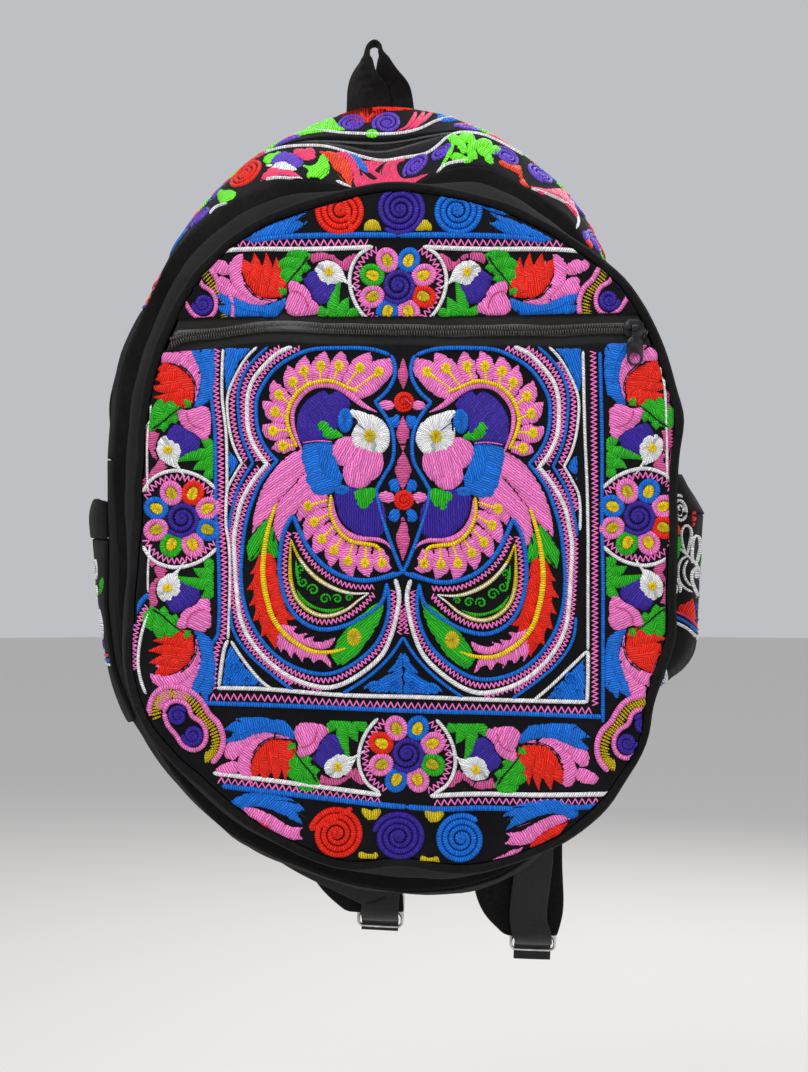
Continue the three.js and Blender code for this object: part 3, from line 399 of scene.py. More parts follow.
class Face:
    """The front of the pocket as a smooth depth map, and the outline that stitches keep inside."""

    def __init__(self, piece):
        tree = tree_of(piece)
        self.x = np.arange(-130.0, 161.0, 2.0)
        self.z = np.arange(-450.0, -90.0, 2.0)
        depth = np.full((len(self.z), len(self.x)), np.nan)
        for j, z in enumerate(self.z):
            for i, x in enumerate(self.x):
                hit = tree.ray_cast(Vector((x, -200, z)) * MM, Vector((0, 1, 0)), 0.09)[0]
                if hit is not None:
                    depth[j, i] = hit.y / MM
        self.rows = []
        for j, z in enumerate(self.z):
            held = self.x[~np.isnan(depth[j])]
            if len(held) > 2:
                self.rows.append((z, held[0] - 0.8, held[-1] + 0.8))
        self.rows = np.array(self.rows)
        left, right = self.rows[:, [1, 0]], self.rows[::-1, [2, 0]]
        self.edge = self.walk(np.vstack([left, right, left[:1]]), 0.7)[0]
        while np.isnan(depth).any():
            wide = np.pad(depth, 1, constant_values=np.nan)
            near = np.stack([wide[1 + a:wide.shape[0] - 1 + a, 1 + b:wide.shape[1] - 1 + b] for a in
                (-1, 0, 1) for b in (-1, 0, 1)])
            known = ~np.isnan(near)
            filled = np.where(known, near, 0).sum(0) / np.maximum(known.sum(0), 1)
            depth = np.where(np.isnan(depth) & known.any(0), filled, depth)
        for _ in range(2):
            wide = np.pad(depth, 1, mode="edge")
            depth = sum(wide[1 + a:wide.shape[0] - 1 + a, 1 + b:wide.shape[1] - 1 + b] for a in
                (-1, 0, 1) for b in (-1, 0, 1)) / 9
        self.depth = depth

    @staticmethod
    def walk(points, step):
        """Points every step along an open line, and how far along each is."""
        points = np.asarray(points, float)
        run = np.concatenate([[0], np.cumsum(np.linalg.norm(np.diff(points, axis=0), axis=1))])
        n = max(2, int(round(run[-1] / step)) + 1)
        at = np.linspace(0, run[-1], n)
        return np.stack([np.interp(at, run, points[:, k]) for k in range(points.shape[1])], 1), at

    def y(self, p):
        u = np.clip((p[:, 0] - self.x[0]) / 2.0, 0, len(self.x) - 1.001)
        v = np.clip((p[:, 1] - self.z[0]) / 2.0, 0, len(self.z) - 1.001)
        i, j = u.astype(int), v.astype(int)
        u, v = u - i, v - j
        d = self.depth
        return ((d[j, i] * (1 - u) + d[j, i + 1] * u) * (1 - v)
                + (d[j + 1, i] * (1 - u) + d[j + 1, i + 1] * u) * v)

    def flat(self, px):
        p = seen_at(px, np.full(len(px), -122.0))
        for _ in range(3):
            p = seen_at(px, self.y(p))
        return p

    def out(self, p):
        z = self.rows[:, 0]
        left = np.interp(p[:, 1], z, self.rows[:, 1])
        right = np.interp(p[:, 1], z, self.rows[:, 2])
        return ((p[:, 0] < left) | (p[:, 0] > right) | (p[:, 1] < z[0] - 0.7)
                | (p[:, 1] > z[-1] + 0.7))

    def lift(self, p, high):
        out = self.out(p)
        p = p.copy()
        if out.any():
            far = np.linalg.norm(p[out][:, None] - self.edge[None], axis=2)
            p[out] = self.edge[far.argmin(1)]
            high = np.where(out, np.minimum(high, 0.0), high)
        return np.stack([p[:, 0], self.y(p) - high, p[:, 1]], 1), out


class Ground:
    """Cloth that stitches lie on. ray gives a drawing's place on it as a ray's start and way,
    and the spot whose nearest cloth serves where the ray misses. There a stitch is tucked in."""
    tucks = True

    def __init__(self, *pieces):
        self.tree = tree_of(*pieces)

    def lift(self, p, high):
        result, out = [], []
        for q, h in zip(p, high):
            start, way, stand_in = self.ray(q)
            spot, normal, _, _ = self.tree.ray_cast(start, way)
            out.append(spot is None)
            if spot is None:
                spot, normal, _, _ = self.tree.find_nearest(stand_in)
                h = min(h, 0.0) if self.tucks else h
            if normal.dot(way) > 0 and self.tucks:
                normal = -normal
            result.append((spot / MM + normal * h)[:])
        return np.array(result), np.array(out)


class Seen(Ground):
    """Any surface that the camera sees: a stitch lies where its pixel's line of sight meets it."""
    eye = Vector(CAMERA) * MM

    def flat(self, px):
        return px * (0.5, -0.5)

    def ray(self, q):
        aim = Vector(((q[0] * 2 - MIDDLE_PX[0]) * SCALE, 1, (MIDDLE_PX[1] + q[1] * 2) * SCALE))
        return self.eye, aim, self.eye + aim * self.depth

    def lift(self, p, high):
        self.depth = 1
        hits = [self.tree.ray_cast(*self.ray(q)[:2])[0] for q in p]
        held = [spot.y for spot in hits if spot is not None]
        if not held:
            return np.zeros((len(p), 3)), np.ones(len(p), bool)
        self.depth = float(np.mean(held)) - self.eye.y
        return super().lift(p, high)


class Round(Ground):
    """The outside of the gusset: x runs clockwise over the top, y to the back, in millimetres."""
    REACH = 195.0

    def flat(self, px):
        px = np.asarray(px, float)

        def aim_at(x, y):
            return Vector(((x - MIDDLE_PX[0]) * SCALE, 1, (MIDDLE_PX[1] - y) * SCALE))

        def cast(x, y):
            spot = self.tree.ray_cast(Seen.eye, aim_at(x, y))[0]
            return spot if spot is not None and spot.y < 0.06 else None

        spots = [cast(x, y) for x, y in px]
        seen = [i for i, spot in enumerate(spots) if spot is not None]
        result = []
        for i, spot in enumerate(spots):
            if spot is None and seen:
                # past the edge of what the camera sees: the nearest spot of the shape that it does
                near = min(seen, key=lambda k: abs(px[k] - px[i]).sum())
                for t in (0.1, 0.2, 0.35, 0.5, 0.7, 0.85):
                    spot = spot or cast(*(px[i] + (px[near] - px[i]) * t))
                spot = spot or spots[near]
            if spot is None:
                spot = self.tree.find_nearest(Seen.eye + aim_at(*px[i]) * 1.07)[0]
            around = math.atan2(spot.x / MM - CENTRE_X, spot.z / MM - CENTRE_Z)
            result.append((around * self.REACH, spot.y / MM))
        return np.array(result)

    def ray(self, q):
        around = q[0] / self.REACH
        way = Vector((math.sin(around), 0, math.cos(around)))
        middle = Vector((CENTRE_X, q[1], CENTRE_Z))
        return (middle + way * 400) * MM, -way, (middle + way * 185) * MM


class Laid(Round):
    """The same surface, drawn on in half millimetres from a spot that the photograph shows."""

    def flat(self, px):
        return np.asarray(px, float) * 0.5


def curve(points, closed=False, step=1.3):
    """A smooth line through the points. A point with a third number is a sharp corner."""
    pts, corner = [], []
    size = 3 if isinstance(points, np.ndarray) else 2
    for q in points:
        pts.append(q[:size])
        corner.append(len(q) > size)
    pts = np.array(pts, float)
    n = len(pts)
    spans = n if closed else n - 1
    result = []
    for i in range(spans):
        a, b = pts[i], pts[(i + 1) % n]
        reach = np.linalg.norm(b - a)

        def slope(k):
            if corner[k] or (not closed and k in (0, n - 1)):
                return None
            before, here, after = pts[(k - 1) % n], pts[k], pts[(k + 1) % n]
            way = after - before
            length = np.linalg.norm(way)
            return way / length * reach if length > 1e-6 else None

        m0, m1 = slope(i), slope((i + 1) % n)
        if m0 is None and m1 is None:
            m0 = m1 = b - a
        elif m0 is None:
            m0 = 1.5 * (b - a) - 0.5 * m1
        elif m1 is None:
            m1 = 1.5 * (b - a) - 0.5 * m0
        t = np.linspace(0, 1, max(2, int(reach / step)) + 1)[:-1, None]
        result.append((2 * t**3 - 3 * t**2 + 1) * a + (t**3 - 2 * t**2 + t) * m0
                      + (-2 * t**3 + 3 * t**2) * b + (t**3 - t**2) * m1)
    if not closed:
        result.append(pts[-1:])
    return np.vstack(result)


def edge_distance(p, loop):
    a, b = loop, np.roll(loop, -1, 0)
    ab = b - a
    t = np.clip(((p[:, None] - a) * ab).sum(2) / np.maximum((ab**2).sum(1), 1e-9), 0, 1)
    return np.linalg.norm(p[:, None] - (a + t[..., None] * ab), axis=2).min(1)


def inside(p, loop):
    a, b = loop, np.roll(loop, -1, 0)
    x, y = p[:, :1], p[:, 1:]
    cross = (a[:, 1] > y) != (b[:, 1] > y)
    with np.errstate(divide="ignore", invalid="ignore"):
        at = a[:, 0] + (y - a[:, 1]) * (b[:, 0] - a[:, 0]) / (b[:, 1] - a[:, 1])
    return (cross & (x < at)).sum(1) % 2 == 1


work = {}


def same(x, y):
    return x, y


class Needle:
    """Stitches on one ground. at places a drawing's own points in the photograph."""
    STEP = 1.3

    def __init__(self, ground, group, at=same, up=0.0):
        self.ground, self.group, self.at, self.up = ground, group, at, up

    def moved(self, at, up=None):
        return Needle(self.ground, self.group, at, self.up if up is None else up)

    def flat(self, px):
        return self.ground.flat(np.array([self.at(x, y) for x, y in px], float))

    def keep(self, colour, p, high, faces, uv):
        spots, out = self.ground.lift(p, high)
        faces = [f for f in faces if not all(out[i] for i in f)]
        if not faces:
            return
        verts, kept, uvs = work.setdefault((self.group, colour), ([], [], []))
        start = len(verts)
        verts.extend(spots)
        uvs.extend(uv)
        kept.extend(tuple(i + start for i in f) for f in faces)

    def satin(self, colour, outline, angle=90, lift=1.0, up=0.0, fan=None):
        """A filled shape. angle is the way that its threads run, 0 across and 90 upright;
        with fan they run out from that point instead."""
        raw = curve(outline, True, self.STEP * 2)
        loop = self.flat(raw)
        loop, _ = Face.walk(np.vstack([loop, loop[:1]]), self.STEP)
        loop = loop[:-1]
        if len(loop) < 5:
            return
        area = 0.5 * (loop[:, 0] * np.roll(loop[:, 1], -1)
                      - np.roll(loop[:, 0], -1) * loop[:, 1]).sum()
        if area < 0:
            loop = loop[::-1]
        way = np.roll(loop, -1, 0) - np.roll(loop, 1, 0)
        inward = np.stack([-way[:, 1], way[:, 0]], 1)
        inward /= np.maximum(np.linalg.norm(inward, axis=1), 1e-9)[:, None]
        ring = loop + inward * 0.5
        loop = loop - inward * rng.uniform(-0.25, 0.32, len(loop))[:, None]
        low, top = loop.min(0), loop.max(0)
        gap = 2.1
        xs, ys = np.arange(low[0], top[0], gap), np.arange(low[1], top[1], gap * 0.866)
        grid = np.array([(x + (k % 2) * gap / 2, y) for k, y in enumerate(ys) for x in xs])
        every = [loop]
        for spots, clear in ((ring, 0.4), (grid, 1.25)):
            if len(spots):
                spots = spots[inside(spots, loop)]
            if len(spots):
                every.append(spots[edge_distance(spots, loop) > clear])
        every = np.vstack(every)
        edges = [(i, (i + 1) % len(loop)) for i in range(len(loop))]
        made = delaunay_2d_cdt([Vector(v) for v in every], edges, [], 1, 1e-4, False)
        p = np.array([v[:] for v in made[0]])
        faces = []
        for f in made[2]:
            a, b, c = p[f[0]], p[f[1]], p[f[2]]
            turn = (b[0] - a[0]) * (c[1] - a[1]) - (b[1] - a[1]) * (c[0] - a[0])
            if abs(turn) > 1e-6:
                faces.append(f if turn > 0 else f[::-1])
        if not faces:
            return
        d = edge_distance(p, loop)
        t = np.minimum(d / 1.5, 1)
        high = self.up + up - 0.3 + (lift * 0.85 + 0.3) * np.sqrt(1 - (1 - t) ** 2) \
            + 0.25 * np.minimum(d / 6, 1)
        if fan is None:
            centre = raw.mean(0)
            turn = math.radians(angle)
            way = self.flat([centre, centre + (math.cos(turn), -math.sin(turn))])
            way = (way[1] - way[0]) / np.linalg.norm(way[1] - way[0])
            uv = np.stack([p @ (-way[1], way[0]), p @ way], 1)
        else:
            hub = self.flat([fan])[0]
            out = p - hub
            far = np.linalg.norm(out, axis=1)
            mid = (p.mean(0) - hub)
            base = math.atan2(mid[1], mid[0])
            bearing = (np.arctan2(out[:, 1], out[:, 0]) - base + math.pi) % (2 * math.pi)
            uv = np.stack([bearing * max(float(np.percentile(far, 70)), 1.0), far], 1)
        self.keep(colour, p, high, faces, uv + rng.uniform(0, 40, 2))

    def band(self, colour, path, width=4.0, lift=1.0, up=0.0, slant=0.0, step=STEP,
             straight=False, sections=5):
        """A line of stitches laid side by side across a path. width is in pixels, and one
        number or several along the path."""
        raw = np.array([q[:2] for q in path], float) if straight else curve(path, False, step * 2)
        line, run = Face.walk(self.flat(raw), step)
        n = len(line)
        if n < 2 or run[-1] < 0.5:
            return
        widths = np.atleast_1d(np.array(width, float)) * 0.5
        w = np.interp(np.linspace(0, 1, n), np.linspace(0, 1, len(widths)), widths) \
            if len(widths) > 1 else np.full(n, widths[0])
        near = np.minimum(run, run[-1] - run) / np.maximum(w / 2, 0.3)
        w = w * np.sqrt(np.clip(1 - (1 - np.clip(near, 0.12, 1)) ** 2, 0.05, 1))
        way = np.gradient(line, axis=0)
        way /= np.maximum(np.linalg.norm(way, axis=1), 1e-9)[:, None]
        side = np.stack([-way[:, 1], way[:, 0]], 1)
        across = np.linspace(-1, 1, sections)
        rise = np.sqrt(np.clip(1 - np.abs(across) ** 2.2, 0, 1))
        p, high, uv = [], [], []
        for a, r in zip(across, rise):
            p.append(line + side * (w * a / 2)[:, None])
            high.append(self.up + up - 0.25 + (lift + 0.25) * r * np.clip(w / w.max(), 0.4, 1))
            uv.append(np.stack([run - slant * a * w / 2, a * w / 2], 1))
        faces = []
        for k in range(sections - 1):
            for i in range(n - 1):
                a, b = k * n + i, (k + 1) * n + i
                faces.append((a, a + 1, b + 1, b))
        self.keep(colour, np.vstack(p), np.concatenate(high), faces, np.vstack(uv) + rng.uniform(0,
            40, 2))

    def zigzag(self, colour, path, width, pitch):
        """Slanting stitches to and fro along a path."""
        thick, lift = 1.5, 0.7
        line, run = Face.walk(self.flat(curve(path, False, 2.6)), pitch * 0.5 / 2)
        way = np.gradient(line, axis=0)
        way /= np.maximum(np.linalg.norm(way, axis=1), 1e-9)[:, None]
        side = np.stack([-way[:, 1], way[:, 0]], 1) * width * 0.25
        half = thick * 0.25
        p, high, faces, uv = [], [], [], []
        for i in range(len(line) - 1):
            s = 1 if i % 2 else -1
            a, b = line[i] + side[i] * s, line[i + 1] - side[i + 1] * s
            leg = b - a
            length = np.linalg.norm(leg)
            if length < 0.2:
                continue
            leg /= length
            flank = np.array([-leg[1], leg[0]]) * half * rng.uniform(0.85, 1.15)
            start = len(p)
            for t, h in ((-0.06, 0.15), (0.25, 1), (0.75, 1), (1.06, 0.15)):
                spot = a + leg * length * t
                for c in (-1, 0, 1):
                    p.append(spot + flank * c)
                    high.append(self.up - 0.2 + (lift + 0.2) * (h if c == 0 else 0.1))
                    uv.append((c * 0.2, t * length))
            for t in range(3):
                for c in range(2):
                    q = start + t * 3 + c
                    faces.append((q, q + 3, q + 4, q + 1))
        if faces:
            self.keep(colour, np.array(p), np.array(high), faces, np.array(uv))

    def disc(self, colour, x, y, rx, ry=None, lift=1.0, up=0.0, hole=0.0):
        """A round or oval patch, or with a hole a ring, with its threads running outward."""
        ry = rx if ry is None else ry
        n = max(12, int(rx * 2.2))
        rings = [hole + (1 - hole) * t for t in (0.0, 0.12, 0.35, 0.65, 0.88, 1.0)]
        if hole:
            heights = [-0.2, 0.75, 1.0, 1.0, 0.75, -0.2]
        else:
            heights = [0.8, 0.9, 1.0, 1.0, 0.75, -0.2]
        raw, high, uv = [], [], []
        for r, h in zip(rings, heights):
            for k in range(n + 1):
                a = 2 * math.pi * k / n
                r_now = max(r, 0.02)
                raw.append((x + rx * r_now * math.cos(a), y + ry * r_now * math.sin(a)))
                high.append(self.up + up + h * lift)
                uv.append((k / n * math.pi * (rx + ry) * 0.42, r * rx * 0.5))
        p = self.flat(raw)
        faces = []
        for j in range(len(rings) - 1):
            for k in range(n):
                a, b = j * (n + 1) + k, (j + 1) * (n + 1) + k
                faces.append((a, b, b + 1, a + 1))
        a, b, c = p[faces[-1][0]], p[faces[-1][1]], p[faces[-1][2]]
        if (b[0] - a[0]) * (c[1] - a[1]) - (b[1] - a[1]) * (c[0] - a[0]) < 0:
            faces = [f[::-1] for f in faces]
        self.keep(colour, p, np.array(high), faces, np.array(uv) + rng.uniform(0, 40))

    def spiral(self, colour, x, y, r, turns=3.6, width=None, start=0.0, hand=1, squash=1.0,
               lift=1.3, tail=()):
        """A flat coil of laid thread, from its eye outwards, with black showing between turns."""
        pitch = r / (turns + 0.35)
        width = pitch * 0.92 if width is None else width
        path = []
        steps = int(turns * 14)
        for k in range(steps + 1):
            t = turns * k / steps
            a = math.radians(start) + hand * 2 * math.pi * t
            far = pitch * (0.35 + t) * (1 - 0.5 / (turns + 1))
            path.append((x + far * math.cos(a), y + far * math.sin(a) * squash))
        path += list(tail)
        self.disc(colour, x, y, pitch * 0.8, lift=lift * 0.9)
        self.band(colour, path, [width * 0.8, width, width, width], lift=lift, step=1.2,
                  sections=7)


def finish_work():
    for (group, colour), (verts, faces, uvs) in work.items():
        new_piece(f"stitch_{group}_{colour}", verts, faces, THREADS[colour], uvs)


# Motifs

# the upper flower's middle, about which the border's motifs are drawn, and the field's axis
HUB_X, HUB_Y = 398, 286
AXIS = 403


def petal(needle, colour, base, heart, tip, half):
    """A pointed crest feather from base past its heart to its tip, with threads across it."""
    base, heart, tip = (np.array(q, float) for q in (base, heart, tip))
    along, wide = [], []
    for t in np.linspace(0, 1, 9):
        along.append((1 - t) ** 2 * base + 2 * t * (1 - t) * (2 * heart - (base + tip) / 2)
                     + t * t * tip)
        wide.append(half * (0.62 + 0.38 * math.sin(math.pi * min(t / 0.62, 1) * 0.5))
                    * (1 - max(0, (t - 0.5) / 0.5) ** 1.7))
    along = np.array(along)
    way = np.gradient(along, axis=0)
    way /= np.linalg.norm(way, axis=1)[:, None]
    side = np.stack([-way[:, 1], way[:, 0]], 1)
    left = along + side * np.array(wide)[:, None]
    right = along - side * np.array(wide)[:, None]
    outline = [tuple(left[0]) + (1,)] + [tuple(q) for q in left[1:-1]] + [tuple(tip) + (1,)]
    outline += [tuple(q) for q in right[-2:0:-1]] + [tuple(right[0]) + (1,)]
    angle = math.degrees(math.atan2(-(tip - base)[1], (tip - base)[0])) + 90
    needle.satin(colour, outline, angle)


def lobes(needle, colour, root, tips, width=9.0, bow=0.16, up=0.0):
    """A leaf or flame of curved strokes that leave one root line and end in loose points."""
    line = curve(root, False, 1.0)
    for k, tip in enumerate(tips):
        a = line[int(k / max(len(tips) - 1, 1) * (len(line) - 1))]
        b = np.array(tip, float)
        middle = (a + b) / 2 + np.array([a[1] - b[1], b[0] - a[0]]) * bow
        needle.band(colour, [tuple(a), tuple(middle), tuple(b)],
                    [width * 0.8, width, width * 0.95, width * 0.6, 0.8], lift=1.1,
                    up=up + 0.14 * (k % 2), slant=0.5)


def nicks(needle, up, *lines):
    """Dark partings where neighbouring blocks of satin stitch meet."""
    for line in lines:
        needle.band("gap", line, [2.2, 1.8, 0.9], lift=0.12, up=up, sections=3)


def drop(needle, base, heart, r):
    """A yellow drop on its stalk."""
    needle.disc("yellow", heart[0], heart[1], r, r * 1.1, lift=0.7, up=0.9)
    needle.band("yellow", [base, ((base[0] + heart[0]) / 2, (base[1] + heart[1]) / 2), heart],
                [2.4, 3.0, 5.0], lift=0.7, up=0.9)


def flower(needle, x, y, colours):
    """Eight ringed petals with yellow hearts about a coiled purple eye."""
    for k, colour in enumerate(colours):
        a = math.radians(-112.5 + 45 * k)
        px, py = x + 27.5 * math.cos(a), y + 27.5 * math.sin(a)
        turn = lambda u, v, a=a, px=px, py=py: needle.at(
            px + u * math.cos(a) - v * math.sin(a), py + u * math.sin(a) + v * math.cos(a))
        own = needle.moved(turn)
        own.disc(colour, 0.5, 0, 13.2, 11.6, lift=1.1, hole=0.46)
        own.disc("yellow" if k % 3 else "mustard", -2.0, 0, 9.6, 5.6, lift=0.8)
    needle.disc("gap", x, y, 19.5, lift=0.5)
    needle.moved(needle.at, needle.up + 0.3).spiral("purple", x, y, 20.5, 2.4, width=6.0)


def arcs(needle):
    """The white arcs that stand before and behind a flower, each with its zigzag. Drawn about
    the flower's middle, the hub."""
    for s in (1, -1):
        put = needle.moved(lambda x, y, s=s: needle.at(HUB_X + s * (x - HUB_X), y))
        line = [(371, 247), (357, 257), (350, 274), (351, 291), (358, 308), (369, 321)]
        put.band("white", line, 4.2, lift=1.1, slant=0.7)
        put.zigzag("pink", [(x + 6.5, y * 0.93 + 20) for x, y in line], 6.5, 5.4)


def small_bird(put):
    """One of the border's birds, facing right, towards the flower at the hub."""
    put.satin("pink", [(228, 263), (211, 259, 1), (206, 266), (215, 273), (228, 275)], 60)
    put.satin("pink", [(217, 278), (226, 277), (238, 289), (252, 300), (268, 304, 1), (250, 305),
        (233, 298), (217, 292)], 60)
    put.satin("blue", [(216, 294), (233, 296), (254, 304), (270, 303), (286, 297, 1), (285, 306),
        (276, 317, 1), (252, 320), (228, 319, 1), (222, 313), (214, 306, 1), (222, 303)], 78,
        lift=1.1)
    put.band("blue", [(226, 300), (245, 309), (266, 312)], 3.0, lift=0.8, up=0.8)
    put.satin("pink", [(244, 253, 1), (234, 257), (228, 268), (230, 280), (239, 294), (257, 304),
        (270, 303), (286, 298, 1), (262, 298), (249, 288), (242, 275), (243, 261)], 35, lift=1.2)
    put.satin("red", [(245, 268), (252, 264), (262, 264), (270, 270), (274, 280), (276, 288),
        (281, 297, 1), (260, 297), (249, 287), (243, 276)], 82, lift=0.9)
    lobes(put, "red", [(279, 297), (270, 297), (260, 292), (251, 285), (247, 276)], [(277, 266),
        (276, 257), (266, 252), (254, 253), (243, 259)], 14.5, bow=0.10)
    put.satin("green", [(307, 256), (298, 256), (288, 262), (280, 272), (279, 283), (283, 293, 1),
        (290, 283), (300, 277), (306, 269), (308, 262)], 20, lift=0.9)
    lobes(put, "green", [(307, 257), (303, 268), (296, 277), (286, 289)], [(286, 256), (275, 268),
        (273, 281), (280, 296)], 15.0, bow=0.2, up=0.1)
    lobes(put, "green", [(304, 259), (301, 268), (294, 279)], [(311, 254), (311, 268), (303, 280)],
        10.0, bow=-0.1, up=0.2)
    nicks(put, 1.3, [(308, 256), (302, 266), (293, 276), (284, 289)])
    nicks(put, 1.0, [(217, 304), (236, 306), (252, 311)], [(228, 317), (240, 311), (254, 308)],
        [(244, 284), (256, 297), (272, 301)])
    put.satin("green", [(319, 318, 1), (326, 309), (337, 305), (350, 309), (359, 318, 1)], 60,
        lift=0.8)
    lobes(put, "green", [(326, 316), (334, 316), (342, 316), (352, 317)], [(320, 305), (341, 280),
        (349, 297), (357, 308)], 13.0, bow=-0.1)
    put.satin("mauve", [(309, 254, 1), (320, 252), (334, 255), (341, 261), (347, 257), (354, 253),
        (359, 255), (352, 264), (347, 272, 1), (339, 267), (334, 261), (324, 260), (312, 264, 1)],
        80, lift=1.0)
    put.satin("purple", [(303, 279), (312, 271), (325, 270), (336, 284), (335, 291), (329, 302),
        (318, 304), (311, 296), (306, 286)], 40, lift=1.15)
    put.satin("pink", [(289, 281), (298, 282), (308, 289), (312, 298), (320, 307), (318, 313),
        (306, 315), (291, 315), (285, 309), (286, 300), (289, 294)], 65, lift=1.3)
    put.band("mauve", [(291, 291), (300, 293), (306, 300), (308, 309)], 1.4, lift=0.35, up=1.5)
    put.satin("white", [(349, 284, 1), (342, 282), (336, 284), (328, 287), (320, 283), (315, 275),
        (315, 268), (322, 261), (332, 261), (341, 267), (345, 276)], fan=(329, 273), lift=1.5)
    put.disc("yellow", 329, 272, 4.2, 4.6, lift=0.5, up=1.6)
    put.band("white", [(341, 279), (349, 284), (356, 289)], [3.4, 2.4, 1.4], lift=0.8, up=0.6)


def corner(put):
    """Two purple coils inside a pink outline, rays about them and a pink band outside. Drawn
    as at the panel's lower left, round (185, 727)."""
    outer = [(149, 716), (150, 705), (155, 694), (166, 687), (181, 688), (195, 694), (204, 705),
        (209, 714), (218, 723), (223, 737), (221, 751), (212, 763)]
    put.band("pink", outer, 5.8, lift=1.3)
    rays = curve([(152, 724)] + outer + [(203, 766)], False, 3.0)
    core = np.array([185.0, 727.0])
    for k, spot in enumerate(rays[1:-1]):
        away = core - spot
        axis = np.array([0.64, 0.77])
        inward = away - axis * (away @ axis) * 0.72
        inward /= np.linalg.norm(inward)
        a, b = spot + inward * 2.5, spot + inward * (11.5 + 1.2 * (k % 2))
        put.band("mustard", [tuple(a), tuple(b)], [2.3, 1.9], lift=0.6, straight=True,
                 sections=3)
    inner = [(164, 712), (169, 703), (179, 701), (188, 706), (192, 716), (201, 722), (206, 732),
        (204, 744), (194, 750), (183, 745), (176, 735), (168, 725)]
    put.band("pink", inner + inner[:1], 5.0, lift=1.2)
    put.spiral("purple", 178, 716, 11.0, 1.8, width=5.6, start=40)
    put.spiral("purple", 193, 735, 12.0, 1.9, width=5.8, start=220)


def scroll(needle, x, y, r, turn=0.0, hand=1, colour="blue"):
    """A small raised curl, tone on tone."""
    path = []
    for k in range(22):
        a = math.radians(turn) + hand * k * 0.42
        far = r * (1 - k / 26)
        path.append((x + far * math.cos(a), y + far * math.sin(a)))
    needle.band(colour, path, [2.2, 2.6, 2.0], lift=0.7, up=0.95 if colour == "blue" else 0.1)


